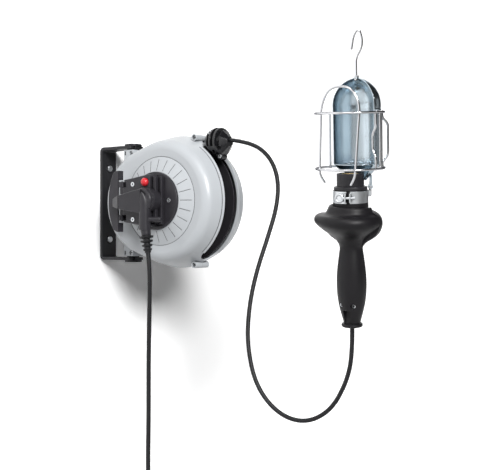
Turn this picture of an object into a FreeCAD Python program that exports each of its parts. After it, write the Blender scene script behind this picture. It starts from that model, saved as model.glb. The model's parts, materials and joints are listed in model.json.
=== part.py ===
import FreeCAD, Part
import math
import os
from FreeCAD import Placement, Rotation, Vector

os.makedirs("parts", exist_ok=True)

# Frame: origin at the middle of the bracket's back face, on the wall.
# -Y points out of the wall, -X is the side with the inlet, +Z is up. Millimetres.

# Clearances
RUN_FIT = 0.06        # shafts and pins in bearings, radial
SEAT_GAP = 0.3        # between curved faces that only sit together
PLAY = 0.5            # around things that move past each other

# Wall bracket, bent from flat steel strip
STRIP_WIDTH = 35.0
STRIP_THICK = 5.0
BRACKET_HEIGHT = 197.0
BRACKET_BEND = 8.0
BRACKET_CORNER = 4.0
WALL_BOLT_SPACING = 125.0
WALL_BOLT_R = 3.0
WALL_BOLT_HEAD = 10.0      # across flats
WALL_BOLT_HEAD_THICK = 4.0
WALL_BOLT_STUD = 35.0      # length behind the plate

# Vertical swivel
PIVOT_FROM_WALL = 62.5
ARM_PAST_PIVOT = 9.0
PIVOT_PIN_R = 4.0
PIVOT_PIN_IN_LUG = 22.0
PIVOT_CAP_R = 14.75
PIVOT_CAP_THICK = 3.5
PIVOT_HUB_R = 6.5
PIVOT_TAB_HALF = 8.0
WASHER_R = 10.5
WASHER_THICK = 2.0

# Reel housing: a barrel round the drum, and a smaller one behind it
REEL_FROM_PIVOT = 105.0
SHELL_R = 110.0
REAR_R = 97.5
REAR_OFFSET = 38.0
SHELL_HALF = 52.0
SHELL_WALL = 3.0
SHELL_SHOULDER_X = 40.0
SHELL_SHOULDER_DROP = 10.4
SHELL_EDGE_DROP = 26.0
SEAM = 0.2
SLOT_HALF = 19.0
SLOT_TOP = 56.0            # degrees above the horizontal
SLOT_BOTTOM = -52.0
SLOT_BEAD = 2.4
NOTCH_R = 4.8              # the cord's own opening above the slot
EDGE_LINE = 22.8           # fine groove beside the slot
RING_R = 72.0
RING_GROOVES = 24
RING_GROOVE_INNER = 49.0
RING_GROOVE_OUTER = 67.0
GROOVE = 1.0
SIDE_RISE = 9.5            # the raised middle of each side
SIDE_FLAT_R = 46.0
LUG_HALF = 15.0
LUG_BEHIND = 8.0
LUG_AHEAD = 13.0
LUG_SCREW_AHEAD = 8.6
BOSS_ANGLE = 67.7
BOSS_OUT = 1.9             # centre beyond the rim line
BOSS_R = 5.5
BOSS_HALF = 17.0
SCREW_R = 2.0
SCREW_HEAD_R = 3.5
SCREW_HEAD_THICK = 3.0

# Drum and what turns with it
SHAFT_R = 6.0
SHAFT_SEAT = 8.0
SHAFT_BOSS_R = 12.0
BUSH_WALL = 2.0
FLANGE_INSIDE = 11.0       # flange below the rim line
FLANGE_THICK = 2.5
DRUM_HALF = 16.0           # inside width / 2
CORE_R = 41.0
CORE_WALL = 3.0
CORD_D = 6.5
WINDING_INSIDE = 14.6      # outer layer's centre below the flange
WINDING_TURNS = 3.25
WINDING_PITCH = 7.2
SPRING_CUP_R = 61.0
SPRING_TURNS = 9
SPRING_STRIP = 1.1
ARBOR_R = 9.5
RING_HUB_R = 14.0
SLIP_RING_R = 17.0
SLIP_RINGS = 3
RATCHET_R = 56.0
RATCHET_DEPTH = 5.0
RATCHET_TEETH = 12
RATCHET_PHASE = 13.5
RATCHET_THICK = 5.0

# Cable outlet and ball stop
BALL_R = 23.8
BALL_SUNK = 9.26            # how deep it sits in the rim
BALL_ANGLE = 49.43         # degrees above the horizontal
CORD_RISE = 3.45           # degrees, cord through the ball
BALL_GROOVES = 3
BALL_GROOVE_PITCH = 8.7
BALL_GROOVE_START = -10.0
BALL_GROOVE_WIDTH = 5.2
BALL_TONGUE = 6.2          # half its thickness
BALL_SCREWS = ((6.0, -23.1), (-10.0, 15.4))        # forward and up from its centre
BALL_WINDOWS = ((2.0, -16.0), (12.0, -10.8))
ROLLER_R = 4.0
ROLLER_HALF = 11.0
ROLLER_BEHIND_BALL = 32.0
OUTLET_TAB = 2.8           # over the drum's flanges
OUTLET_LOW = 56.0          # degrees above the horizontal
OUTLET_HIGH = 68.0

# Hub cover and inlet, on the -X side
HUB_R = 46.8
HUB_DEPTH = 4.5
HUB_REAR = -66.0
HUB_REAR_HALF = 32.8
BLOCK_DEPTH = 19.0
BLOCK_FRONT = 7.0
BLOCK_FRONT_HALF = 42.0
BLOCK_REAR = -50.0
BLOCK_REAR_HALF = 34.0
HUB_WALL = 3.0
INLET_FORWARD = 0.0
INLET_R = 16.5
INLET_COLLAR_R = 20.0
INLET_COLLAR = 3.0
BUTTON_R = 6.6
BUTTON_FORWARD = -2.3
BUTTON_UP = 29.2
BUTTON_TRAVEL = 2.0
BUTTON_PROUD = 7.0
HUB_SCREW_R = 3.6

# Lid of the inlet, standing open behind the hub
LID_HINGE_FORWARD = -58.0
LID_HALF_HEIGHT = 50.0
LID_REAR = -84.0
LID_LENGTH = 21.5
LID_DEPTH = 13.0
LID_ARM_UP = 27.0
LID_ARM_HALF = 4.5
LID_PIN_R = 1.75

# Angled supply connector
PLUG_BARREL_R = 19.5
PLUG_BARREL = 9.5
PLUG_GRIP_TIP = -65.0
PLUG_CREASE = -45.5
PLUG_GRIP_THICK = 10.0
CHANNEL_R = 9.4
CHANNEL_FORWARD = 4.5
LEAD_D = 7.2
BOOT_RIBS = 4
BOOT_PITCH = 6.6
BOOT_CORE_R = 5.6
BOOT_TILT = 8.0
COIL_R = 40.0
COIL_TURNS = 4
COIL_TAIL = 45.0           # straight from the coil to the plug
PLUG_END_R = 18.5
PLUG_PIN_R = 2.4
PLUG_PIN_LENGTH = 19.0
PLUG_PIN_SPACING = 19.0

# Hand lamp, built upright about its own axis and then tilted
LAMP_X = -57.9
LAMP_Y = -520.4
LAMP_TURN = -55.0
LAMP_TILT = 8.0
LAMP_LEAN = -1.6
LAMP_BOTTOM = -186.0
HANDLE_SEAM = -35.0        # the seam's turn about the lamp's axis
HANDLE_SCREW_UP = -154.0
NECK_R = 24.6
BAND_LOW = -9.4
BAND_HIGH = 7.3
BAND_THICK = 1.2
SLEEVE_R = 19.0
SLEEVE_TOP = 31.0
SLEEVE_FLANGE_R = 23.2
HINGE_R = 27.4             # hinge of the guard from the lamp's axis
CLAMP_TURN = -14.0
SLEEVE_BORE_R = 15.5
LAMP_THREAD_R = 13.4
LAMP_THREAD_FOOT = 2.0     # plain foot under the thread
CAGE_R = 47.0
CAGE_WIRE_R = 1.6
CAGE_LOW = 38.0
CAGE_HIGH = 114.0
REFLECTOR_R = 33.0
REFLECTOR_X = 10.5
REFLECTOR_Y = 6.1
REFLECTOR_SHEET = 1.0
REFLECTOR_LOW = 43.0
REFLECTOR_SHOULDER = 116.0
REFLECTOR_TOP = 161.0
FUNNEL_LOW = 20.0
HOOK_WIRE_R = 1.5

# Values that follow
REEL_Y = -(PIVOT_FROM_WALL + REEL_FROM_PIVOT)
FLANGE_R = SHELL_R - FLANGE_INSIDE
WINDING_R = FLANGE_R - WINDING_INSIDE
BOSS_FORWARD = (SHELL_R + BOSS_OUT) * math.cos(math.radians(BOSS_ANGLE))
BOSS_UP = (SHELL_R + BOSS_OUT) * math.sin(math.radians(BOSS_ANGLE))
BALL_FORWARD = (SHELL_R + BALL_R - BALL_SUNK) * math.cos(math.radians(BALL_ANGLE))
BALL_UP = (SHELL_R + BALL_R - BALL_SUNK) * math.sin(math.radians(BALL_ANGLE))
ROLLER_FORWARD = BALL_FORWARD - ROLLER_BEHIND_BALL
DRUM_SIDE = DRUM_HALF + FLANGE_THICK
SEAT_X = SHELL_HALF - SHELL_WALL - SHAFT_SEAT
SPRING_DEPTH = SEAT_X - DRUM_SIDE + 0.5
SLIP_RING_PITCH = (SEAT_X - DRUM_SIDE - 4.5) / SLIP_RINGS
SLIP_RING_WIDTH = SLIP_RING_PITCH - 2.0
SIDE_X = SHELL_HALF + SIDE_RISE
HUB_FACE = -(SIDE_X + HUB_DEPTH)
HUB_TOP = HUB_FACE - BLOCK_DEPTH
LID_HINGE_X = HUB_TOP + 7.0
PLUG_X = HUB_TOP - INLET_COLLAR - PLAY      # the connector's shoulder
CHANNEL_X = PLUG_X - 4.5
ARM_INNER = BRACKET_HEIGHT / 2 - STRIP_THICK
LUG_TOP = ARM_INNER - WASHER_THICK - 0.1
TANGENT = math.degrees(math.acos(-(SHELL_R - REAR_R) / REAR_OFFSET))
CORD_R = CORD_D / 2
LEAD_R = LEAD_D / 2
X_AXIS = Vector(1, 0, 0)
Y_AXIS = Vector(0, 1, 0)
Z_AXIS = Vector(0, 0, 1)


def at(x, forward, up):
    """A point given from the reel's axis: along it, forward of it and above it."""
    return Vector(x, REEL_Y - forward, up)


def polar(x, radius, angle):
    a = math.radians(angle)
    return at(x, radius * math.cos(a), radius * math.sin(a))


def rod(radius, start, end):
    return Part.makeCylinder(radius, (end - start).Length, start, end - start)


def tube(outer, inner, start, end):
    return rod(outer, start, end).cut(rod(inner, start, end))


def cone(radius_a, radius_b, start, end):
    return Part.makeCone(radius_a, radius_b, (end - start).Length, start, end - start)


def block(x0, x1, f0, f1, z0, z1):
    """A box from x0 to x1, f0 to f1 forward of the reel's axis, z0 to z1."""
    return Part.makeBox(x1 - x0, f1 - f0, z1 - z0, Vector(x0, REEL_Y - f1, z0))


def box(x0, x1, y0, y1, z0, z1):
    return Part.makeBox(x1 - x0, y1 - y0, z1 - z0, Vector(x0, y0, z0))


def fuse(shapes):
    if len(shapes) == 1:
        return shapes[0]
    return shapes[0].multiFuse(shapes[1:]).removeSplitter()


def group(shapes):
    return Part.makeCompound(shapes)


def mirror_x(shape):
    return shape.mirror(Vector(0, 0, 0), X_AXIS)


def mirror_z(shape):
    return shape.mirror(Vector(0, 0, 0), Z_AXIS)


def hexagon_prism(across_flats, start, end):
    side = (end - start).cross(X_AXIS)
    if side.Length < 0.1:
        side = (end - start).cross(Z_AXIS)
    side.normalize()
    points = []
    for step in range(7):
        turn = Rotation(end - start, 60.0 * step)
        points.append(start + turn.multVec(side * (across_flats / math.sqrt(3))))
    return Part.Face(Part.makePolygon(points)).extrude(end - start)


def cap_screw(head_r, head_thick, shank_r, head_top, tip):
    """A screw with a round head and a hexagon socket, head_top to tip."""
    along = tip - head_top
    along.normalize()
    head_base = head_top + along * head_thick
    head = rod(head_r, head_top, head_base)
    socket = hexagon_prism(head_r * 0.9, head_top, head_top + along * (head_thick * 0.6))
    return fuse([head.cut(socket), rod(shank_r, head_base, tip)])


def export(shape, name):
    bad = [s for s in shape.Solids if not s.isValid() or s.Volume <= 0]
    if bad or not shape.Solids:
        print("CHECK", name, "solids", len(shape.Solids), "bad", len(bad))
    shape.exportStep("parts/" + name + ".step")


def round_vertical(shape, radius, pick):
    edges = [e for e in shape.Edges if pick(e)]
    return shape.makeFillet(radius, edges)


# Routes of straight runs joined by tangent arcs


def rounded_route(points, share=0.45):
    """A wire along the points with each corner turned by an arc. Returns it and its radii."""
    edges = []
    radii = []
    last = points[0]
    for before, corner, after in zip(points, points[1:], points[2:]):
        into = corner - before
        out = after - corner
        turn = into.getAngle(out)
        reach = share * min(into.Length, out.Length)
        into.normalize()
        out.normalize()
        start = corner - into * reach
        end = corner + out * reach
        radius = reach / math.tan(turn / 2)
        inward = out - into
        inward.normalize()
        depth = radius / math.cos(turn / 2) - radius
        edges.append(Part.LineSegment(last, start).toShape())
        edges.append(Part.Arc(start, corner + inward * depth, end).toShape())
        radii.append(radius)
        last = end
    edges.append(Part.LineSegment(last, points[-1]).toShape())
    return Part.Wire(edges), radii


def sweep(wire, radius):
    first = wire.OrderedEdges[0]
    start = first.valueAt(first.FirstParameter)
    along = first.tangentAt(first.FirstParameter)
    if first.Orientation == "Reversed":
        start = first.valueAt(first.LastParameter)
        along = first.tangentAt(first.LastParameter) * -1
    ring = Part.Wire(Part.makeCircle(radius, start, along))
    return wire.makePipeShell([ring], True, False)


def route_tube(points, radius, name):
    wire, radii = rounded_route(points)
    solid = sweep(wire, radius)
    expected = wire.Length * math.pi * radius ** 2
    text = ", ".join("%.0f" % r for r in radii)
    print("%s length %.0f mm, radii %s, volume ratio %.4f" % (name, wire.Length, text, solid.Volume / expected))
    return solid


def wire_tube(points, radius):
    wire = rounded_route(points)[0]
    return sweep(wire, radius)


def biarc(p0, t0, p1, t1):
    """Two tangent arcs from p0 along t0 to p1 along t1."""
    v = p1 - p0
    t = t0 + t1
    a = 2 * (1 - t0.dot(t1))
    b = 2 * v.dot(t)
    d = (-b + math.sqrt(b * b + 4 * a * v.dot(v))) / (2 * a)
    knot = (p0 + t0 * d + p1 - t1 * d) * 0.5
    pieces = []
    for start, tangent, end in ((p0, t0, knot), (knot, None, p1)):
        if tangent is None:
            tangent = (p1 - t1 * d) - knot
            tangent.normalize()
        chord = end - start
        half = tangent.getAngle(chord)
        middle = (start + end) * 0.5
        side = middle - (start + tangent * (chord.Length / 2 / math.cos(half)))
        side.normalize()
        sagitta = chord.Length / 2 * math.tan(half / 2)
        pieces.append(Part.Arc(start, middle - side * sagitta, end).toShape())
    return pieces


def helix_wire(centre, radius, pitch, turns, start_angle, stub, tail, sense=1):
    """Turns about an axis along X through centre, with a straight stub before and a tail after."""
    steps = int(round(turns * 4))
    points = []
    tangents = []
    for step in range(steps + 1):
        a = math.radians(start_angle) + sense * step * math.pi / 2
        along = -pitch * turns / 2 + pitch * step / 4
        points.append(centre + Vector(along, -radius * math.cos(a), radius * math.sin(a)))
        tangent = Vector(pitch / (2 * math.pi), sense * radius * math.sin(a), sense * radius * math.cos(a))
        tangent.normalize()
        tangents.append(tangent)
    edges = [Part.LineSegment(points[0] - tangents[0] * stub, points[0]).toShape()]
    for i in range(steps):
        edges += biarc(points[i], tangents[i], points[i + 1], tangents[i + 1])
    edges.append(Part.LineSegment(points[-1], points[-1] + tangents[-1] * tail).toShape())
    return Part.Wire(edges)


def least_gap(wire, diameter, skip):
    """Least distance between turns that are more than skip apart along the wire, less the diameter."""
    points = []
    for edge in wire.OrderedEdges:
        points += edge.discretize(Distance=4.0)[:-1]
    least = 1e9
    for i, a in enumerate(points):
        for j in range(i + int(skip / 4.0), len(points)):
            least = min(least, a.distanceToPoint(points[j]))
    return least - diameter


# Wall bracket and swivel


def make_bracket():
    half = BRACKET_HEIGHT / 2
    arm_end = -(PIVOT_FROM_WALL + ARM_PAST_PIVOT)
    outer = box(-STRIP_WIDTH / 2, STRIP_WIDTH / 2, arm_end, 0, -half, half)
    outer = round_vertical(outer, BRACKET_BEND, lambda e: e.BoundBox.YMin > -1 and e.BoundBox.XLength > 1
                           and abs(e.BoundBox.ZMin) > half - 1)
    inner = box(-STRIP_WIDTH, STRIP_WIDTH, arm_end - 1, -STRIP_THICK, -ARM_INNER, ARM_INNER)
    inner = round_vertical(inner, BRACKET_BEND - STRIP_THICK, lambda e: e.BoundBox.YMin > -STRIP_THICK - 1
                           and e.BoundBox.XLength > 1 and abs(e.BoundBox.ZMin) > ARM_INNER - 1)
    bracket = outer.cut(inner)
    bracket = round_vertical(bracket, BRACKET_CORNER, lambda e: e.BoundBox.YMax < arm_end + 1
                             and e.BoundBox.ZLength > 1)
    for side in (-1, 1):
        z = side * WALL_BOLT_SPACING / 2
        bracket = bracket.cut(rod(WALL_BOLT_R + 0.5, Vector(0, -STRIP_THICK - 1, z), Vector(0, 1, z)))
        pivot = Vector(0, -PIVOT_FROM_WALL, side * (ARM_INNER - 1))
        bracket = bracket.cut(rod(PIVOT_HUB_R, pivot, pivot + Vector(0, 0, side * (STRIP_THICK + 2))))
    export(bracket, "wall_bracket")


def make_wall_bolts():
    bolts = []
    for side in (-1, 1):
        z = side * WALL_BOLT_SPACING / 2
        face = Vector(0, -STRIP_THICK, z)
        top = Vector(0, -STRIP_THICK - WALL_BOLT_HEAD_THICK, z)
        head = hexagon_prism(WALL_BOLT_HEAD, face, top)
        crown = cone(WALL_BOLT_HEAD * 0.76, WALL_BOLT_HEAD * 0.47, face, top)
        shank = rod(WALL_BOLT_R + 0.2, face, Vector(0, 0, z))
        bolts.append(fuse([head.common(crown), shank, rod(WALL_BOLT_R, Vector(0, -1, z), Vector(0, WALL_BOLT_STUD, z))]))
    export(group(bolts), "wall_bolts")


def make_pivot(name, side):
    """Cap with its pin and hub in one piece, and a tab over the arm's end."""
    arm_outer = BRACKET_HEIGHT / 2
    axis = Vector(0, -PIVOT_FROM_WALL, 0)
    base = axis + Vector(0, 0, arm_outer)
    cap = rod(PIVOT_CAP_R, base, base + Vector(0, 0, PIVOT_CAP_THICK))
    rim = [e for e in cap.Edges if e.BoundBox.ZMin > arm_outer + 1 and e.BoundBox.ZLength < 0.1]
    cap = cap.makeFillet(1.0, rim)
    hub = rod(PIVOT_HUB_R, axis + Vector(0, 0, ARM_INNER), base)
    tab_y = -(PIVOT_FROM_WALL + ARM_PAST_PIVOT)
    tab = box(-PIVOT_TAB_HALF, PIVOT_TAB_HALF, tab_y - 2.5, tab_y, ARM_INNER, arm_outer + 1.5)
    pin = rod(PIVOT_PIN_R, axis + Vector(0, 0, LUG_TOP - PIVOT_PIN_IN_LUG), base)
    cap = fuse([cap, hub, tab, pin])
    export(cap if side > 0 else mirror_z(cap), name)


def make_pivot_washers():
    washers = []
    for side in (-1, 1):
        low = Vector(0, -PIVOT_FROM_WALL, side * (ARM_INNER - WASHER_THICK))
        high = Vector(0, -PIVOT_FROM_WALL, side * ARM_INNER)
        washers.append(tube(WASHER_R, PIVOT_PIN_R, low, high))
    export(group(washers), "pivot_washers")


# Reel housing


def shell_curve(inset):
    """Outer skin, or the same skin set in by the wall, as edges of distance from the rim line."""
    seam = SEAM / 2
    rim = Vector(seam, -inset, 0)
    crown = Vector(20, -4.7 - inset, 0)
    shoulder = Vector(SHELL_SHOULDER_X - inset * 0.45, -SHELL_SHOULDER_DROP - inset * 0.9, 0)
    turn = Vector(48.4 - inset * 0.8, -16.4 - inset * 0.6, 0)
    edge = Vector(SHELL_HALF - inset, -SHELL_EDGE_DROP, 0)
    return [Part.Arc(rim, crown, shoulder).toShape(), Part.Arc(shoulder, turn, edge).toShape()]


def wall_section():
    outer = shell_curve(0)
    inner = shell_curve(SHELL_WALL)
    first = Part.LineSegment(inner[0].valueAt(inner[0].FirstParameter),
                             outer[0].valueAt(outer[0].FirstParameter)).toShape()
    last = Part.LineSegment(inner[1].valueAt(inner[1].LastParameter),
                            outer[1].valueAt(outer[1].LastParameter)).toShape()
    return Part.Face(Part.Wire(Part.__sortEdges__(outer + inner + [first, last])))


def stand_up(face, angle, radius, centre_forward):
    """Put a section drawn in x and distance at an angle about an axis along X."""
    a = math.radians(angle)
    out = Vector(0, -math.cos(a), math.sin(a))
    origin = at(0, centre_forward, 0) + out * radius
    matrix = FreeCAD.Matrix(1, 0, 0, origin.x, 0, out.y, -out.z, origin.y, 0, out.z, out.y, origin.z, 0, 0, 0, 1)
    return face.transformGeometry(matrix)


def shell_wall():
    """The +X half's curved wall: two revolved stretches and two straight ones between them."""
    section = wall_section()
    front = stand_up(section, -TANGENT, SHELL_R, 0).revolve(at(0, 0, 0), X_AXIS, -2 * TANGENT)
    rear_sweep = 360 - 2 * TANGENT
    rear = stand_up(section, TANGENT, REAR_R, -REAR_OFFSET).revolve(at(0, -REAR_OFFSET, 0), X_AXIS, -rear_sweep)
    run = math.sqrt(REAR_OFFSET ** 2 - (SHELL_R - REAR_R) ** 2)
    a = math.radians(TANGENT)
    upper = stand_up(section, TANGENT, SHELL_R, 0).extrude(Vector(0, math.sin(a), math.cos(a)) * run)
    lower = stand_up(section, -TANGENT, SHELL_R, 0).extrude(Vector(0, math.sin(a), -math.cos(a)) * run)
    return [front, rear, upper, lower]


def side_outline(drop):
    """Both circles and their common tangents, at a distance inside the rim line."""
    front_r = SHELL_R - drop
    rear_r = REAR_R - drop
    a = math.radians(TANGENT)
    c = math.cos(a)
    s = math.sin(a)
    p = [at(0, front_r * c, front_r * s), at(0, -REAR_OFFSET + rear_r * c, rear_r * s),
         at(0, -REAR_OFFSET + rear_r * c, -rear_r * s), at(0, front_r * c, -front_r * s)]
    edges = [Part.LineSegment(p[0], p[1]).toShape(), Part.Arc(p[1], at(0, -REAR_OFFSET - rear_r, 0), p[2]).toShape(),
             Part.LineSegment(p[2], p[3]).toShape(), Part.Arc(p[3], at(0, front_r, 0), p[0]).toShape()]
    return Part.Face(Part.Wire(edges))


def sector(x0, x1, r0, r1, low, high):
    """A stretch of ring about the reel's axis, between two angles."""
    face = Part.Face(Part.makePolygon([polar(x0, r0, low), polar(x0, r1, low), polar(x1, r1, low),
                                       polar(x1, r0, low), polar(x0, r0, low)]))
    return face.revolve(at(0, 0, 0), X_AXIS, low - high)


def slot_cutter():
    """The cord slot: square at its top, round at its lower end, and a notch above it for the cord."""
    low = SHELL_R - 25
    high = SHELL_R + 10
    slot = sector(-SLOT_HALF, SLOT_HALF, low, high, SLOT_BOTTOM, SLOT_TOP)
    end = rod(SLOT_HALF, polar(0, low, SLOT_BOTTOM), polar(0, high, SLOT_BOTTOM))
    f0 = ROLLER_FORWARD - 15
    f1 = BALL_FORWARD - 5
    notch = rod(NOTCH_R, at(0, f0, cord_line(f0)), at(0, f1, cord_line(f1)))
    return fuse([slot, end, notch])


def slot_bead():
    """A raised lip along the slot's +X edge."""
    face = Part.Face(Part.makePolygon([
        polar(SLOT_HALF, SHELL_R - 6.6, SLOT_BOTTOM), polar(SLOT_HALF, SHELL_R - 3.0, SLOT_BOTTOM),
        polar(SLOT_HALF + SLOT_BEAD * 0.6, SHELL_R - 3.0, SLOT_BOTTOM),
        polar(SLOT_HALF + SLOT_BEAD, SHELL_R - 4.6, SLOT_BOTTOM),
        polar(SLOT_HALF + SLOT_BEAD, SHELL_R - 6.6, SLOT_BOTTOM), polar(SLOT_HALF, SHELL_R - 6.6, SLOT_BOTTOM)]))
    return face.revolve(at(0, 0, 0), X_AXIS, -(SLOT_TOP - SLOT_BOTTOM))


def side_cone(inset):
    """The raised middle of a side, or the hollow behind it."""
    x0 = SHELL_HALF - inset
    return cone(RING_R, SIDE_FLAT_R, at(x0, 0, 0), at(x0 + SIDE_RISE, 0, 0))


def half_shell():
    """The +X half. The -X half is its mirror image with the inlet's opening."""
    seam = SEAM / 2
    plate = side_outline(SHELL_EDGE_DROP)
    plate.translate(X_AXIS * (SHELL_HALF - SHELL_WALL))
    parts = shell_wall() + [plate.extrude(X_AXIS * SHELL_WALL), side_cone(0)]
    for side in (-1, 1):
        z0, z1 = sorted((side * (LUG_TOP - 35), side * LUG_TOP))
        parts.append(block(seam, LUG_HALF, -REEL_FROM_PIVOT - LUG_BEHIND, -REEL_FROM_PIVOT + LUG_AHEAD, z0, z1))
    shell = fuse(parts).cut(side_cone(SHELL_WALL))
    inner = side_outline(SHELL_WALL + 1.5)
    inner.translate(X_AXIS * seam)
    shell = shell.cut(inner.extrude(X_AXIS * (LUG_HALF - 3)))
    shell = shell.cut(slot_cutter())
    bosses = []
    for side in (-1, 1):
        z = BOSS_UP * side
        bosses.append(rod(BOSS_R, at(seam, BOSS_FORWARD, z), at(BOSS_HALF, BOSS_FORWARD, z)))
    shaft_seat = rod(SHAFT_BOSS_R, at(SEAT_X, 0, 0), at(SIDE_X - 1, 0, 0))
    shell = fuse([shell, slot_bead(), shaft_seat] + bosses)
    shell = shell.cut(rod(SHAFT_R, at(0, 0, 0), at(SIDE_X - SHELL_WALL, 0, 0)))
    shell = shell.cut(Part.makeSphere(BALL_R + SEAT_GAP, at(0, BALL_FORWARD, BALL_UP)))
    return shell.cut(group(ring_cuts() + pivot_cuts() + boss_cuts()))


def ring_cuts():
    """Fine grooves moulded in the side: a circle, spokes on the cone, and a line beside the slot."""
    cuts = [tube(RING_R + GROOVE / 2, RING_R - GROOVE / 2, at(SHELL_HALF - 0.6, 0, 0), at(SHELL_HALF + 1, 0, 0))]
    slope = SIDE_RISE / (RING_R - SIDE_FLAT_R)
    x_in = SHELL_HALF + (RING_R - RING_GROOVE_INNER) * slope
    x_out = SHELL_HALF + (RING_R - RING_GROOVE_OUTER) * slope
    half = GROOVE / 2
    for step in range(RING_GROOVES):
        spoke = Part.Face(Part.makePolygon([
            at(x_in - GROOVE, RING_GROOVE_INNER, -half), at(x_out - GROOVE, RING_GROOVE_OUTER, -half),
            at(x_out + 2, RING_GROOVE_OUTER, -half), at(x_in + 2, RING_GROOVE_INNER, -half),
            at(x_in - GROOVE, RING_GROOVE_INNER, -half)])).extrude(Z_AXIS * GROOVE)
        spoke.rotate(at(0, 0, 0), X_AXIS, -360.0 * step / RING_GROOVES)
        cuts.append(spoke)
    cuts.append(sector(EDGE_LINE - 0.8, EDGE_LINE + 0.8, SHELL_R - 6.7, SHELL_R + 2, SLOT_BOTTOM, SLOT_TOP))
    return cuts


def pivot_cuts():
    cuts = []
    for side in (-1, 1):
        axis = Vector(0, -PIVOT_FROM_WALL, 0)
        cuts.append(rod(PIVOT_PIN_R + RUN_FIT, axis + Vector(0, 0, side * 40), axis + Vector(0, 0, side * 100)))
        screw_f = -REEL_FROM_PIVOT + LUG_SCREW_AHEAD
        z = side * (LUG_TOP - 6)
        cuts.append(rod(SCREW_R + 0.1, at(-1, screw_f, z), at(LUG_HALF + 1, screw_f, z)))
        cuts.append(rod(SCREW_HEAD_R + SEAT_GAP, at(LUG_HALF - 5, screw_f, z), at(LUG_HALF + 20, screw_f, z)))
        z0, z1 = sorted((side * (LUG_TOP - 9), side * (LUG_TOP - 2.5)))
        cuts.append(block(LUG_HALF - 3, LUG_HALF + 1, -REEL_FROM_PIVOT - 6.5, -REEL_FROM_PIVOT - 3.5, z0, z1))
    return cuts


def boss_cuts():
    cuts = []
    for side in (-1, 1):
        z = BOSS_UP * side
        cuts.append(rod(SCREW_R + 0.1, at(-1, BOSS_FORWARD, z), at(BOSS_HALF + 1, BOSS_FORWARD, z)))
        cuts.append(rod(SCREW_HEAD_R + SEAT_GAP, at(BOSS_HALF - 6, BOSS_FORWARD, z), at(BOSS_HALF + 1, BOSS_FORWARD, z)))
    return cuts


def make_shells():
    far = half_shell()
    export(far, "far_shell")
    near = mirror_x(far)
    skin = -SIDE_X - 1
    inside = -SIDE_X + SHELL_WALL + 1
    near = near.cut(block(skin, inside, SHAFT_BOSS_R + 4, SHAFT_BOSS_R + 22, 8, 30))
    for forward, up in hub_screw_places():
        near = near.cut(rod(1.5, at(skin, forward, up), at(inside, forward, up)))
    export(near, "near_shell")


def make_shell_screws():
    screws = []
    for side in (-1, 1):
        z = BOSS_UP * side
        screws.append(cap_screw(SCREW_HEAD_R, SCREW_HEAD_THICK, SCREW_R,
                                at(-BOSS_HALF + 6 - SCREW_HEAD_THICK, BOSS_FORWARD, z), at(BOSS_HALF - 8, BOSS_FORWARD, z)))
        z = side * (LUG_TOP - 6)
        f = -REEL_FROM_PIVOT + LUG_SCREW_AHEAD
        screws.append(cap_screw(SCREW_HEAD_R, SCREW_HEAD_THICK, SCREW_R,
                                at(-LUG_HALF + 5 - SCREW_HEAD_THICK, f, z), at(LUG_HALF - 6, f, z)))
    export(group(screws), "shell_screws")


# Drum, spring, slip rings and ratchet


def make_shaft():
    end = SIDE_X - SHELL_WALL - 0.1
    export(rod(SHAFT_R, at(-end, 0, 0), at(end, 0, 0)), "main_shaft")


def drum_half(name, side):
    """One moulded half: flange, half the core, web and bush seat."""
    f = side * DRUM_HALF
    seam = side * SEAM / 2
    bush_r = SHAFT_R + RUN_FIT + BUSH_WALL
    flange = tube(FLANGE_R, bush_r, at(f, 0, 0), at(f + side * FLANGE_THICK, 0, 0))
    core = tube(CORE_R, CORE_R - CORE_WALL, at(seam, 0, 0), at(f + side, 0, 0))
    hub = tube(bush_r + 4, bush_r, at(seam, 0, 0), at(f + side, 0, 0))
    parts = [flange, core, hub]
    for step in range(6):
        rib = block(min(seam, f + side), max(seam, f + side), bush_r + 3, CORE_R - 1, -1.5, 1.5)
        rib.rotate(at(0, 0, 0), X_AXIS, 60.0 * step)
        parts.append(rib)
    if side > 0:
        cup_end = DRUM_SIDE + SPRING_DEPTH
        parts.append(tube(SPRING_CUP_R, SPRING_CUP_R - 3, at(DRUM_HALF + 1, 0, 0), at(cup_end, 0, 0)))
    half = fuse(parts)
    for step in range(3):
        a = 30 + 120 * step
        half = half.cut(rod(1.6, polar(-60, CORE_R - 8, a), polar(60, CORE_R - 8, a)))
    bolt = []
    for step in range(3):
        a = 30 + 120 * step
        bolt.append(tube(4, 1.6, polar(seam, CORE_R - 8, a), polar(f + side, CORE_R - 8, a)))
    export(fuse([half] + bolt), name)


def make_drum_fittings():
    screws = []
    for step in range(3):
        a = 30 + 120 * step
        screws.append(rod(1.6, polar(-DRUM_HALF - 0.5, CORE_R - 8, a), polar(DRUM_HALF + 0.5, CORE_R - 8, a)))
    export(group(screws), "drum_screws")
    bush_r = SHAFT_R + RUN_FIT + BUSH_WALL
    bushes = []
    for side in (-1, 1):
        x = side * DRUM_SIDE
        bushes.append(tube(bush_r, SHAFT_R + RUN_FIT, at(x, 0, 0), at(x - side * 12, 0, 0)))
    export(group(bushes), "drum_bushes")
    inner = tube(WINDING_R - CORD_R - SEAT_GAP, CORE_R, at(-DRUM_HALF + 0.3, 0, 0), at(DRUM_HALF - 0.3, 0, 0))
    export(inner, "wound_cord_inner")


def make_wound_cord():
    wire = helix_wire(at(0, 0, 0), WINDING_R, WINDING_PITCH, WINDING_TURNS, 150.0, CORD_D, CORD_D)
    solid = sweep(wire, CORD_R)
    expected = wire.Length * math.pi * CORD_R ** 2
    gap = least_gap(wire, CORD_D, 60.0)
    print("wound cord length %.0f, gap %.2f, volume ratio %.4f" % (wire.Length, gap, solid.Volume / expected))
    export(solid, "wound_cord_outer")


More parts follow.
